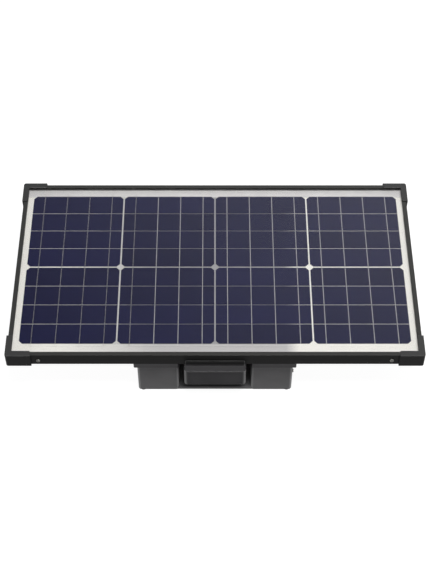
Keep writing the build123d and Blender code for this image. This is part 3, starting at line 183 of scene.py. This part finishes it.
def drifting(tree, pattern, low, high, dark, light):
    """A colour that drifts from dark to light as a pattern goes from low to high. Noise keeps
    near its middle, so a narrow range brings out both colours."""
    drift = add_node(tree, "ShaderNodeMapRange",
                     {"Value": pattern, "From Min": low, "From Max": high})
    return add_node(tree, "ShaderNodeMix",
                    {"Factor": drift.outputs["Result"], MIX_FIRST: dark, MIX_SECOND: light},
                    data_type="RGBA").outputs[MIX_RESULT]


def along_axis(tree, axis, start, end):
    """A factor that goes from 0 to 1 between two places on an axis of the object."""
    where = add_node(tree, "ShaderNodeTexCoord").outputs["Object"]
    place = add_node(tree, "ShaderNodeSeparateXYZ", {"Vector": where}).outputs[axis]
    return add_node(tree, "ShaderNodeMapRange",
                    {"Value": place, "From Min": start, "From Max": end}).outputs["Result"]


def top_lit(tree, colour, top_light):
    """A colour with painted top light on the faces that look up."""
    normal = add_node(tree, "ShaderNodeNewGeometry").outputs["Normal"]
    up = add_node(tree, "ShaderNodeSeparateXYZ", {"Vector": normal}).outputs["Z"]
    return drifting(tree, up, TOP_LIGHT_STARTS, TOP_LIGHT_FULL, colour, top_light)


def edge_highlighted(tree, colour, axes, highlight_colour):
    """A colour with painted highlights on the rounded edges between two directions, such as 'XY'.
    """
    normal = add_node(tree, "ShaderNodeNewGeometry").outputs["Normal"]
    parts = add_node(tree, "ShaderNodeSeparateXYZ", {"Vector": normal}).outputs
    both = add_node(tree, "ShaderNodeMath", {0: parts[axes[0]], 1: parts[axes[1]]},
                    operation="MULTIPLY")
    turn = add_node(tree, "ShaderNodeMath", {0: both.outputs["Value"]}, operation="ABSOLUTE")
    return drifting(tree, turn.outputs["Value"], EDGE_HIGHLIGHT_STARTS, EDGE_HIGHLIGHT_FULL, colour, highlight_colour)


def moulded_plastic(name, colour, grain, roughness, top_light=None, above=None, edge_highlight=None,
                    ior=PLASTIC_IOR):
    """Injection-moulded plastic with a spark-eroded tool texture: a fine even grain that
    breaks up the highlight, and a slight flow mottle in the colour. A colour for what looks up
    is painted top light, a level and a colour paint shade over that level, and directions
    with a colour paint highlights on the rounded edges between them."""
    material, tree = new_material(name)
    where = add_node(tree, "ShaderNodeTexCoord").outputs["Object"]
    texture = add_node(tree, "ShaderNodeTexNoise",
                       {"Vector": where, "Scale": 1 / grain, "Detail": 3.0, "Roughness": 0.6})
    flow = add_node(tree, "ShaderNodeTexNoise",
                    {"Vector": where, "Scale": 1 / FLOW_MOTTLE, "Detail": 2.0})
    face = drifting(tree, flow.outputs["Fac"], 0.3, 0.7, shaded(colour, -0.10),
                    shaded(colour, 0.10))
    # Painted top light on the faces that look up.
    if top_light:
        face = top_lit(tree, face, top_light)
    # Painted shade over a level.
    if above:
        level, shade_colour = above
        over = along_axis(tree, "Z", level, level + PAINT_FADE)
        face = drifting(tree, over, 0.0, 1.0, face, shade_colour)
    # Painted highlights on the rounded edges.
    if edge_highlight:
        face = edge_highlighted(tree, face, *edge_highlight)
    relief = add_node(tree, "ShaderNodeBump",
                      {"Height": texture.outputs["Fac"], "Distance": TOOL_TEXTURE_DEPTH,
                       "Strength": 0.5})
    sheen = add_node(tree, "ShaderNodeMapRange",
                     {"Value": texture.outputs["Fac"], "To Min": roughness - 0.05,
                      "To Max": roughness + 0.05})
    surface = add_node(tree, "ShaderNodeBsdfPrincipled",
                       {"Base Color": face, "Normal": relief.outputs["Normal"], "IOR": ior,
                        "Roughness": sheen.outputs["Result"]})
    add_node(tree, "ShaderNodeOutputMaterial", {"Surface": surface.outputs["BSDF"]})
    return material


def anodised_aluminium(name, colour, along):
    """Extruded aluminium, dyed black in the anodising bath: faint die lines along the
    length, a satin sheen, and painted top light on the faces that look up."""
    material, tree = new_material(name)
    where = add_node(tree, "ShaderNodeTexCoord").outputs["Object"]
    stretch = [1 / DIE_LINES] * 3
    stretch["XYZ".index(along)] = 1 / DIE_LINE_LENGTH
    drawn = add_node(tree, "ShaderNodeMapping", {"Vector": where, "Scale": stretch})
    lines = add_node(tree, "ShaderNodeTexNoise",
                     {"Vector": drawn.outputs["Vector"], "Scale": 1.0, "Detail": 2.0})
    bloom = add_node(tree, "ShaderNodeTexNoise",
                     {"Vector": where, "Scale": 1 / BATH_BLOOM, "Detail": 2.0})
    dyed = drifting(tree, bloom.outputs["Fac"], 0.3, 0.7, shaded(colour, -0.12),
                    shaded(colour, 0.12))
    relief = add_node(tree, "ShaderNodeBump",
                      {"Height": lines.outputs["Fac"], "Distance": DIE_LINE_DEPTH,
                       "Strength": 0.4})
    sheen = add_node(tree, "ShaderNodeMapRange",
                     {"Value": lines.outputs["Fac"], "To Min": 0.36, "To Max": 0.48})
    # The rails' tops take painted top light.
    surface = add_node(tree, "ShaderNodeBsdfPrincipled",
                       {"Base Color": top_lit(tree, dyed, linear("3a3a39")),
                        "Normal": relief.outputs["Normal"], "IOR": ANODISED_IOR,
                        "Roughness": sheen.outputs["Result"]})
    add_node(tree, "ShaderNodeOutputMaterial", {"Surface": surface.outputs["BSDF"]})
    return material


def bare_metal(name, code, roughness, grain=0.6 * MM):
    """Plated, turned or cast metal: fine scratches in every direction, which spread the
    highlight unevenly."""
    material, tree = new_material(name)
    where = add_node(tree, "ShaderNodeTexCoord").outputs["Object"]
    scratch = add_node(tree, "ShaderNodeTexNoise",
                       {"Vector": where, "Scale": 1 / grain, "Detail": 4.0,
                        "Distortion": 1.5})
    colour = drifting(tree, scratch.outputs["Fac"], 0.0, 1.0, shaded(linear(code), -0.12),
                      shaded(linear(code), 0.06))
    sheen = add_node(tree, "ShaderNodeMapRange",
                     {"Value": scratch.outputs["Fac"], "To Min": roughness - 0.08,
                      "To Max": roughness + 0.08})
    surface = add_node(tree, "ShaderNodeBsdfPrincipled",
                       {"Base Color": colour, "Metallic": 1.0,
                        "Roughness": sheen.outputs["Result"]})
    add_node(tree, "ShaderNodeOutputMaterial", {"Surface": surface.outputs["BSDF"]})
    return material


def black_rubber(name):
    """Moulded rubber: dark and dull, with a dusty bloom."""
    material, tree = new_material(name)
    where = add_node(tree, "ShaderNodeTexCoord").outputs["Object"]
    bloom = add_node(tree, "ShaderNodeTexNoise",
                     {"Vector": where, "Scale": 1 / RUBBER_BLOOM, "Detail": 5.0})
    black = linear("1a1a1a")
    colour = drifting(tree, bloom.outputs["Fac"], 0.35, 0.75, black, shaded(black, 0.6))
    sheen = add_node(tree, "ShaderNodeMapRange",
                     {"Value": bloom.outputs["Fac"], "To Min": 0.7, "To Max": 0.85})
    surface = add_node(tree, "ShaderNodeBsdfPrincipled",
                       {"Base Color": colour, "IOR": RUBBER_IOR,
                        "Roughness": sheen.outputs["Result"]})
    add_node(tree, "ShaderNodeOutputMaterial", {"Surface": surface.outputs["BSDF"]})
    return material


def tempered_glass():
    """Low-iron solar glass with a satin-rolled outer face. It mirrors softly, a little when
    seen from above and more at a glancing angle; the film is bonded to its inner face."""
    material, tree = new_material("low_iron_tempered_glass")
    where = add_node(tree, "ShaderNodeTexCoord").outputs["Object"]
    facing = add_node(tree, "ShaderNodeLayerWeight", {"Blend": 0.5}).outputs["Facing"]
    # Clear glass mirrors more with the fifth power of how glancing the view is.
    glancing = add_node(tree, "ShaderNodeMath", {0: facing, 1: 5.0}, operation="POWER")
    head_on = ((GLASS_IOR - 1) / (GLASS_IOR + 1)) ** 2
    share = add_node(tree, "ShaderNodeMapRange",
                     {"Value": glancing.outputs["Value"], "To Min": head_on, "To Max": 1.0})
    height = add_node(tree, "ShaderNodeSeparateXYZ", {"Vector": where}).outputs["Z"]
    outer = add_node(tree, "ShaderNodeMath",
                     {0: height, 1: (GLASS_LOW.z + GLASS_HIGH.z) / 2}, operation="GREATER_THAN")
    mirrored = add_node(tree, "ShaderNodeMath",
                        {0: share.outputs["Result"], 1: outer.outputs["Value"]},
                        operation="MULTIPLY")
    roller = add_node(tree, "ShaderNodeTexNoise", {"Vector": where, "Scale": 1 / ROLLER_WAVE})
    satin = add_node(tree, "ShaderNodeMapRange",
                     {"Value": roller.outputs["Fac"], "To Min": 0.35, "To Max": 0.38})
    see = add_node(tree, "ShaderNodeBsdfTransparent", {"Color": linear("fefefe")})
    mirror = add_node(tree, "ShaderNodeBsdfAnisotropic",
                      {"Color": linear("ffffff"), "Roughness": satin.outputs["Result"]})
    surface = add_node(tree, "ShaderNodeMixShader",
                       {0: mirrored.outputs["Value"], 1: see.outputs["BSDF"],
                        2: mirror.outputs["BSDF"]})
    add_node(tree, "ShaderNodeOutputMaterial", {"Surface": surface.outputs["Shader"]})
    return material


def cured_film():
    """Cured clear film: it shows what is under it, with a trace of haze."""
    material, tree = new_material("cured_clear_film")
    where = add_node(tree, "ShaderNodeTexCoord").outputs["Object"]
    haze = add_node(tree, "ShaderNodeTexNoise", {"Vector": where, "Scale": 1 / FILM_HAZE})
    colour = drifting(tree, haze.outputs["Fac"], 0.0, 1.0, linear("fefefe"), linear("ffffff"))
    surface = add_node(tree, "ShaderNodeBsdfTransparent", {"Color": colour})
    add_node(tree, "ShaderNodeOutputMaterial", {"Surface": surface.outputs["BSDF"]})
    return material


def silicon_cell(looks):
    """Monocrystalline silicon with a blue anti-reflective coating. Each strip came from a
    slightly different wafer, and printed silver fingers cross it."""
    material, tree = new_material("silicon_nitride_coated_cell")
    where = add_node(tree, "ShaderNodeTexCoord").outputs["Object"]
    pitch_x = (FIELD_HIGH.x - FIELD_LOW.x + CELL_GAP) / CELL_COLUMNS
    pitch_y = (FIELD_HIGH.y - FIELD_LOW.y + CELL_GAP) / (CELL_ROWS * STRIPS_PER_CELL)
    strip = add_node(tree, "ShaderNodeMapping",
                     {"Vector": where, "Scale": (1 / pitch_x, 1 / pitch_y, 0),
                      "Location": (-FIELD_LOW.x / pitch_x, -FIELD_LOW.y / pitch_y, 0)})
    number = add_node(tree, "ShaderNodeVectorMath", {0: strip.outputs["Vector"]},
                      operation="FLOOR")
    wafer = add_node(tree, "ShaderNodeTexWhiteNoise", {"Vector": number.outputs["Vector"]},
                     noise_dimensions="3D")
    cloud = add_node(tree, "ShaderNodeTexNoise",
                     {"Vector": where, "Scale": 1 / COATING_CLOUD, "Detail": 2.0})
    blend = add_node(tree, "ShaderNodeMath",
                     {0: wafer.outputs["Value"], 1: cloud.outputs["Fac"]}, operation="ADD")
    coating = drifting(tree, blend.outputs["Value"], 0.4, 1.6, looks.cell_dark,
                       looks.cell_light)
    # Fingers are 0.05 mm wide and 1.6 mm apart; drawn wider, further apart and faint, so
    # that they show.
    wave = add_node(tree, "ShaderNodeTexWave",
                    {"Vector": where, "Scale": WAVE_PERIOD / looks.finger_pitch},
                    bands_direction="Y")
    printed = add_node(tree, "ShaderNodeMapRange",
                       {"Value": wave.outputs["Fac"], "From Min": FINGER_EDGE,
                        "To Max": FINGER_STRENGTH})
    colour = add_node(tree, "ShaderNodeMix",
                      {"Factor": printed.outputs["Result"], MIX_FIRST: coating,
                       MIX_SECOND: looks.finger}, data_type="RGBA").outputs[MIX_RESULT]
    sheen = add_node(tree, "ShaderNodeMapRange",
                     {"Value": cloud.outputs["Fac"], "To Min": 0.42, "To Max": 0.52})
    surface = add_node(tree, "ShaderNodeBsdfPrincipled",
                       {"Base Color": colour, "IOR": COATED_CELL_IOR,
                        "Roughness": sheen.outputs["Result"]})
    add_node(tree, "ShaderNodeOutputMaterial", {"Surface": surface.outputs["BSDF"]})
    return material


def margin_with_painted_light(tree, looks):
    """The white behind the cells, with painted light near both ends of the front margin,
    and painted shade across the rest of the front margin and in the narrow gaps in the middle."""
    where = add_node(tree, "ShaderNodeTexCoord").outputs["Object"]
    flow = add_node(tree, "ShaderNodeTexNoise",
                    {"Vector": where, "Scale": 1 / MELT_FLOW, "Detail": 3.0})
    plain = drifting(tree, flow.outputs["Fac"], 0.35, 0.65, looks.border_dark,
                     looks.border_light)
    left = along_axis(tree, "X", *(FIELD_MIDDLE.x - reach for reach in BRIGHT_LEFT))
    right = along_axis(tree, "X", *(FIELD_MIDDLE.x + reach for reach in BRIGHT_RIGHT))
    ends = add_node(tree, "ShaderNodeMath", {0: left, 1: right}, operation="MAXIMUM")
    field = along_axis(tree, "Y", FIELD_HIGH.y, FIELD_HIGH.y - MARGIN_FADE)
    margin = along_axis(tree, "Y", FIELD_LOW.y, FIELD_LOW.y - MARGIN_FADE)
    bright = add_node(tree, "ShaderNodeMath", {0: ends.outputs["Value"], 1: field},
                      operation="MULTIPLY")
    # Painted shade over the narrow gaps among the cells.
    gap_shade = drifting(tree, field, 0.0, 1.0, plain, linear("a6a5a8"))
    # Painted shade across the front margin.
    front = drifting(tree, margin, 0.0, 1.0, gap_shade, linear("cac8c8"))
    # Painted light near both ends, except on the rear margin.
    return drifting(tree, bright.outputs["Value"], 0.0, 1.0, front, linear("fffdf6"))


def tinned_ribbon(looks):
    """Tinned copper, dull enough to scatter like paint, and coated white past the cells."""
    material, tree = new_material("tinned_copper_ribbon")
    where = add_node(tree, "ShaderNodeTexCoord").outputs["Object"]
    drawn = add_node(tree, "ShaderNodeMapping",
                     {"Vector": where, "Scale": (1, SOLDER_STRETCH, 1)})
    solder = add_node(tree, "ShaderNodeTexNoise",
                      {"Vector": drawn.outputs["Vector"], "Scale": 1 / SOLDER_PUDDLE,
                       "Detail": 3.0})
    tin = drifting(tree, solder.outputs["Fac"], 0.0, 1.0, linear("8f8f94"), linear("bbb9b9"))
    rear = along_axis(tree, "Y", FIELD_HIGH.y, FIELD_HIGH.y + PAINT_FADE)
    front = along_axis(tree, "Y", FIELD_LOW.y, FIELD_LOW.y - PAINT_FADE)
    past = add_node(tree, "ShaderNodeMath", {0: rear, 1: front}, operation="MAXIMUM")
    # Past the cells the ribbon takes the margin's white, with its painted light and shade.
    colour = drifting(tree, past.outputs["Value"], 0.0, 1.0, tin, margin_with_painted_light(tree, looks))
    sheen = add_node(tree, "ShaderNodeMapRange",
                     {"Value": solder.outputs["Fac"], "To Min": 0.4, "To Max": 0.55})
    surface = add_node(tree, "ShaderNodeBsdfPrincipled",
                       {"Base Color": colour, "Roughness": sheen.outputs["Result"]})
    add_node(tree, "ShaderNodeOutputMaterial", {"Surface": surface.outputs["BSDF"]})
    return material


def white_film(looks, name, roughness):
    """A white film or coating: bright, slightly uneven where the melt flowed, and with the
    margin's painted light and shade.
    """
    material, tree = new_material(name)
    where = add_node(tree, "ShaderNodeTexCoord").outputs["Object"]
    haze = add_node(tree, "ShaderNodeTexNoise",
                    {"Vector": where, "Scale": 1 / COATING_HAZE, "Detail": 2.0})
    sheen = add_node(tree, "ShaderNodeMapRange",
                     {"Value": haze.outputs["Fac"], "To Min": roughness - 0.05,
                      "To Max": roughness + 0.05})
    surface = add_node(tree, "ShaderNodeBsdfPrincipled",
                       {"Base Color": margin_with_painted_light(tree, looks), "IOR": WHITE_FILM_IOR,
                        "Roughness": sheen.outputs["Result"]})
    add_node(tree, "ShaderNodeOutputMaterial", {"Surface": surface.outputs["BSDF"]})
    return material


def finish(material, *names):
    """Give CAD nodes one material."""
    for name in names:
        slots = NODES[name].data.materials
        slots.clear()
        slots.append(material)


def put_in_scene(name, data, place=(0, 0, 0)):
    """A new object in the scene, from its mesh, lamp or camera."""
    item = bpy.data.objects.new(name, data)
    item.location = place
    bpy.context.scene.collection.objects.link(item)
    return item


def flat_sheet(name, half_x, half_y, material, face_down=False):
    """The mesh of a flat rectangle about its own middle, which faces up or down."""
    mesh = bpy.data.meshes.new(name)
    corners = [(-half_x, -half_y, 0), (half_x, -half_y, 0), (half_x, half_y, 0),
               (-half_x, half_y, 0)]
    mesh.from_pydata(corners, [], [(0, 3, 2, 1) if face_down else (0, 1, 2, 3)])
    mesh.materials.append(material)
    return mesh


def colour_property(name, description, code):
    """A colour that a user can change."""
    return FloatVectorProperty(name=name, description=description, size=4, subtype="COLOR",
                               min=0.0, max=1.0, default=linear(code))


class LaminateLooks(PropertyGroup):
    """Colours and pitches of the glazed laminate."""

    cell_dark: colour_property("Cell, dark", "Darkest colour of a coated cell", "0a0c33")
    cell_light: colour_property("Cell, light", "Lightest colour of a coated cell", "101240")
    finger: colour_property("Fingers", "Silver of the printed fingers", "3b3c60")
    border_dark: colour_property("Backsheet, dark", "Darkest white of the backsheet", "e4e1e1")
    border_light: colour_property("Backsheet, light", "Lightest white of the backsheet",
                                  "ebe9e8")
    finger_pitch: FloatProperty(
        name="Finger pitch", description="Distance between printed fingers",
        default=2.4 * MM, unit="LENGTH")


class BodyLooks(PropertyGroup):
    """Colours of the frame, the stand and the housing."""

    rails: colour_property("Rails", "Anodised rails and cross member", "111111")
    guards: colour_property("Corner guards", "Nylon guards", "131313")
    stand: colour_property("Stand", "Powder coat of the folding tube", "262626")
    knobs: colour_property("Knobs", "Clamp knobs, spacers and end plugs", "1f1f20")
    tub: colour_property("Tub", "Housing's tub and base plate", "686769")
    cover: colour_property("Cover", "Rim of the housing", "474648")
    handle: colour_property("Handle", "Arch of the handle", "424143")
    grip: colour_property("Grip", "Soft pad in the handle", "444346")


class StudioSettings(PropertyGroup):
    """Camera and lights."""

    lens: FloatProperty(name="Lens", description="Focal length in millimetres", default=84.35)
    elevation: FloatProperty(
        name="Elevation", description="Camera's height above the panel's plane",
        default=math.radians(52.30), subtype="ANGLE")
    distance: FloatProperty(
        name="Distance", description="From the aim point to the camera",
        default=2.2389, unit="LENGTH")
    aim_forward: FloatProperty(
        name="Aim forward", description="Aim point in front of the middle of the cells",
        default=0.0414, unit="LENGTH")
    key_power: FloatProperty(name="Key light", description="Power in watts", default=38.0)
    side_power: FloatProperty(name="Side lights", description="Power in watts", default=14.0)
    front_power: FloatProperty(name="Front light", description="Power in watts", default=3.0)
    sky: FloatProperty(name="Sky", description="Strength of the even light", default=0.15)


class SOLAR_OT_stage(Operator):
    """Set the floor, the lights and the camera"""

    bl_idname = "solar.stage"
    bl_label = "Studio"

    def execute(self, context):
        scene = context.scene
        studio = scene.solar_studio
        scene.view_settings.view_transform = "Standard"
        scene.cycles.transparent_max_bounces = GLAZING_BOUNCES
        self.camera(scene, studio)
        self.floor()
        self.sky(scene, studio)
        self.reflector()
        self.lamps(studio)
        return {"FINISHED"}

    def camera(self, scene, studio):
        """A long lens in front of the panel, which looks down on it."""
        data = bpy.data.cameras.new("studio_camera")
        data.sensor_width = SENSOR_WIDTH
        data.lens = studio.lens
        data.clip_end = VIEW_REACH
        aim = Vector((FIELD_MIDDLE.x, FIELD_MIDDLE.y - studio.aim_forward, FIELD_HIGH.z))
        back = Vector((0, -math.cos(studio.elevation), math.sin(studio.elevation)))
        camera = put_in_scene("studio_camera", data, aim + back * studio.distance)
        camera.rotation_euler = (math.pi / 2 - studio.elevation, 0, 0)
        scene.camera = camera

    def floor(self):
        """A pale sweep. It is lit from behind for the camera, so that it looks white. What
        mirrors it sees most of that light under the panel, and it lights nothing itself."""
        material, tree = new_material("pale_floor")
        paint = add_node(tree, "ShaderNodeBsdfDiffuse", {"Color": linear("8c8c8c")})
        ray = add_node(tree, "ShaderNodeLightPath")
        under = add_node(tree, "ShaderNodeMapRange",
                         {"Value": along_axis(tree, "Y", UNDER_STARTS, UNDER_FULL),
                          "To Min": FLOOR_MIRRORED_OUTSIDE, "To Max": FLOOR_MIRRORED_UNDER})
        mirrored = add_node(tree, "ShaderNodeMath", {0: ray.outputs["Is Glossy Ray"],
                                                     1: under.outputs["Result"]},
                            operation="MULTIPLY")
        strength = add_node(tree, "ShaderNodeMath",
                            {0: ray.outputs["Is Camera Ray"], 1: FLOOR_SEEN,
                             2: mirrored.outputs["Value"]}, operation="MULTIPLY_ADD")
        glow = add_node(tree, "ShaderNodeEmission", {"Strength": strength.outputs["Value"]})
        lit = add_node(tree, "ShaderNodeAddShader", {0: paint.outputs["BSDF"],
                                                     1: glow.outputs["Emission"]})
        # Seen from below it is clear, so that the underside of the panel can be looked at.
        below = add_node(tree, "ShaderNodeNewGeometry").outputs["Backfacing"]
        clear = add_node(tree, "ShaderNodeBsdfTransparent", {"Color": linear("ffffff")})
        surface = add_node(tree, "ShaderNodeMixShader", {0: below, 1: lit.outputs["Shader"],
                                                         2: clear.outputs["BSDF"]})
        add_node(tree, "ShaderNodeOutputMaterial", {"Surface": surface.outputs["Shader"]})
        floor = put_in_scene("floor", flat_sheet("floor", FLOOR_REACH, FLOOR_REACH, material))

    def sky(self, scene, studio):
        """An even light, white where it shows past the floor."""
        world = bpy.data.worlds.new("studio_sky")
        world.use_nodes = True
        tree = world.node_tree
        tree.nodes.clear()
        seen = add_node(tree, "ShaderNodeLightPath").outputs["Is Camera Ray"]
        strength = add_node(tree, "ShaderNodeMapRange", {"Value": seen, "To Min": studio.sky})
        light = add_node(tree, "ShaderNodeBackground",
                         {"Color": linear("ffffff"), "Strength": strength.outputs["Result"]})
        add_node(tree, "ShaderNodeOutputWorld", {"Surface": light.outputs["Background"]})
        scene.world = world

    def reflector(self):
        """A softbox over the far side, brightest at its far right, which the glass mirrors."""
        material, tree = new_material("softbox_cloth")
        where = add_node(tree, "ShaderNodeTexCoord").outputs["Object"]
        place = add_node(tree, "ShaderNodeSeparateXYZ", {"Vector": where})
        across = add_node(tree, "ShaderNodeMath",
                          {0: place.outputs["X"], 1: SOFTBOX_GLOW_ACROSS, 2: SOFTBOX_GLOW},
                          operation="MULTIPLY_ADD")
        away = add_node(tree, "ShaderNodeMath",
                        {0: place.outputs["Y"], 1: SOFTBOX_GLOW_AWAY,
                         2: across.outputs["Value"]}, operation="MULTIPLY_ADD")
        strength = add_node(tree, "ShaderNodeClamp",
                            {"Value": away.outputs["Value"], "Max": SOFTBOX_MOST})
        glow = add_node(tree, "ShaderNodeEmission", {"Strength": strength.outputs["Result"]})
        add_node(tree, "ShaderNodeOutputMaterial", {"Surface": glow.outputs["Emission"]})
        mesh = flat_sheet("softbox", *SOFTBOX_HALF, material, face_down=True)
        softbox = put_in_scene("softbox", mesh, SOFTBOX_PLACE)
        softbox.visible_camera = False
        softbox.visible_shadow = False

    def lamps(self, studio):
        """Round soft lamps, all turned to the origin."""
        for name, place, width, power in LAMPS:
            data = bpy.data.lights.new(name, "AREA")
            data.shape = "DISK"
            data.size = width
            data.energy = getattr(studio, power)
            lamp = put_in_scene(name, data, place)
            lamp.rotation_euler = Vector(place).to_track_quat("Z", "Y").to_euler()


class SOLAR_OT_laminate(Operator):
    """Finish the glass, cells, ribbons and backsheet"""

    bl_idname = "solar.laminate"
    bl_label = "Laminate"

    def execute(self, context):
        looks = context.scene.solar_laminate
        finish(tempered_glass(), "glass_cover")
        finish(cured_film(), "encapsulant_front", "encapsulant_rear")
        finish(silicon_cell(looks), "solar_cells")
        finish(tinned_ribbon(looks), "cell_ribbons")
        finish(white_film(looks, "white_coated_ribbon", 0.5), "bus_ribbons")
        finish(white_film(looks, "white_fluoropolymer_film", 0.6), "backsheet")
        finish(black_rubber("butyl_edge_seal"), "edge_seal")
        return {"FINISHED"}


class SOLAR_OT_frame(Operator):
    """Finish the rails, corner guards and their screws"""

    bl_idname = "solar.frame"
    bl_label = "Frame"

    def execute(self, context):
        looks = context.scene.solar_body
        finish(anodised_aluminium("black_anodised_aluminium_x", looks.rails, "X"),
               "rail_front", "rail_rear", "cross_member")
        finish(anodised_aluminium("black_anodised_aluminium_y", looks.rails, "Y"),
               "rail_left", "rail_right")
        # The guards take painted top light and painted highlights on their rounded top front
        # edges.
        finish(moulded_plastic("nylon_guard", looks.guards, 0.9 * MM, 0.45,
                               top_light=linear("3c3c3c"), edge_highlight=("YZ", linear("5a5a5a")),
                               ior=TEXTURED_NYLON_IOR),
               "guard_front_left", "guard_front_right", "guard_rear_left",
               "guard_rear_right")
        finish(bare_metal("die_cast_aluminium", "a5a6a8", 0.5, 1.5 * MM), "corner_keys",
               "cover_spacers")
        finish(bare_metal("nickel_plated_steel", "a3a29e", 0.4), "frame_screws",
               "guard_screws")
        return {"FINISHED"}


class SOLAR_OT_stand(Operator):
    """Finish the fold-down stand"""

    bl_idname = "solar.stand"
    bl_label = "Stand"

    def execute(self, context):
        looks = context.scene.solar_body
        finish(moulded_plastic("powder_coated_tube", looks.stand, 1.0 * MM, 0.5), "stand_bail")
        finish(moulded_plastic("black_nylon", looks.knobs, 0.8 * MM, 0.5), "bail_plugs",
               "pivot_spacers", "clamp_knob_left", "clamp_knob_right")
        finish(black_rubber("sleeve_rubber"), "bail_sleeves")
        finish(bare_metal("zinc_plated_bolt", "b0b0ad", 0.35), "pivot_bolts")
        return {"FINISHED"}


class SOLAR_OT_housing(Operator):
    """Finish the housing's shells, handle and feet"""

    bl_idname = "solar.housing"
    bl_label = "Housing"

    def execute(self, context):
        looks = context.scene.solar_body
        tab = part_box("rail_front")[0].z + TAB_ABOVE_RAIL_FOOT
        # The tub takes painted highlights on its rounded upright edges.
        finish(moulded_plastic("charcoal_abs", looks.tub, 0.9 * MM, 0.45,
                               edge_highlight=("XY", linear("9a9a9b"))),
               "housing_tub", "base_plate")
        finish(moulded_plastic("dark_abs", looks.cover, 0.9 * MM, 0.5), "housing_cover")
        # The handle takes painted top light, painted shade on its tab above the rail's foot, and
        # painted highlights on its rounded upright edges.
        finish(moulded_plastic("handle_abs", looks.handle, 0.9 * MM, 0.5,
                               top_light=linear("363537"), above=(tab, linear("161616")),
                               edge_highlight=("XY", linear("7c7c7d"))),
               "handle_arch")
        finish(moulded_plastic("soft_touch_elastomer", looks.grip, 0.7 * MM, 0.72),
               "handle_grip")
        finish(black_rubber("housing_rubber"), "rubber_feet", "housing_gasket", "neck_seal")
        finish(bare_metal("zinc_plated_screw", "b4b2ae", 0.3), "housing_screws",
               "case_screws")
        return {"FINISHED"}


class SOLAR_OT_electrics(Operator):
    """Finish the junction box, battery, board and outlets"""

    bl_idname = "solar.electrics"
    bl_label = "Electrics"

    def execute(self, context):
        finish(moulded_plastic("black_polycarbonate", linear("1d1d1e"), 0.8 * MM, 0.45),
               "junction_box", "junction_lid", "bypass_diodes", "board_parts",
               "socket_plate", "power_socket", "usb_socket", "power_button", "switch_body")
        finish(moulded_plastic("cap_elastomer", linear("2a2a2c"), 0.7 * MM, 0.65),
               "socket_cap", "usb_cap")
        finish(moulded_plastic("lead_insulation", linear("5a1512"), 2.0 * MM, 0.45),
               "panel_leads")
        finish(moulded_plastic("battery_shrink_film", linear("24447c"), 3.0 * MM, 0.35),
               "battery_pack")
        finish(moulded_plastic("green_solder_mask", linear("1c5a34"), 1.5 * MM, 0.35),
               "controller_board", "terminal_block")
        finish(moulded_plastic("green_lamp_lens", linear("3f9a52"), 3.0 * MM, 0.2),
               "lamp_lens")
        finish(bare_metal("zinc_plated_strap", "b4b4b0", 0.35), "battery_strap",
               "strap_screws", "board_screws", "cap_pins")
        finish(bare_metal("turned_brass", "c8a45a", 0.3), "board_standoffs")
        finish(bare_metal("extruded_aluminium", "b8babc", 0.4), "heat_sink")
        return {"FINISHED"}


class SOLAR_PT_sidebar(Panel):
    """Buttons for every group of pieces"""

    bl_idname = "SOLAR_PT_sidebar"
    bl_label = "Solar panel"
    bl_space_type = "VIEW_3D"
    bl_region_type = "UI"
    bl_category = "Solar panel"

    def draw(self, context):
        for operator in OPERATORS:
            self.layout.operator(operator.bl_idname)


OPERATORS = (SOLAR_OT_stage, SOLAR_OT_laminate, SOLAR_OT_frame, SOLAR_OT_stand,
             SOLAR_OT_housing, SOLAR_OT_electrics)
CLASSES = (LaminateLooks, BodyLooks, StudioSettings, *OPERATORS, SOLAR_PT_sidebar)


def register():
    for cls in CLASSES:
        bpy.utils.register_class(cls)
    bpy.types.Scene.solar_laminate = PointerProperty(type=LaminateLooks)
    bpy.types.Scene.solar_body = PointerProperty(type=BodyLooks)
    bpy.types.Scene.solar_studio = PointerProperty(type=StudioSettings)


def unregister():
    del bpy.types.Scene.solar_studio
    del bpy.types.Scene.solar_body
    del bpy.types.Scene.solar_laminate
    for cls in reversed(CLASSES):
        bpy.utils.unregister_class(cls)


def main():
    register()
    bpy.ops.solar.stage()
    bpy.ops.solar.laminate()
    bpy.ops.solar.frame()
    bpy.ops.solar.stand()
    bpy.ops.solar.housing()
    bpy.ops.solar.electrics()


if __name__ == "__main__":
    main()
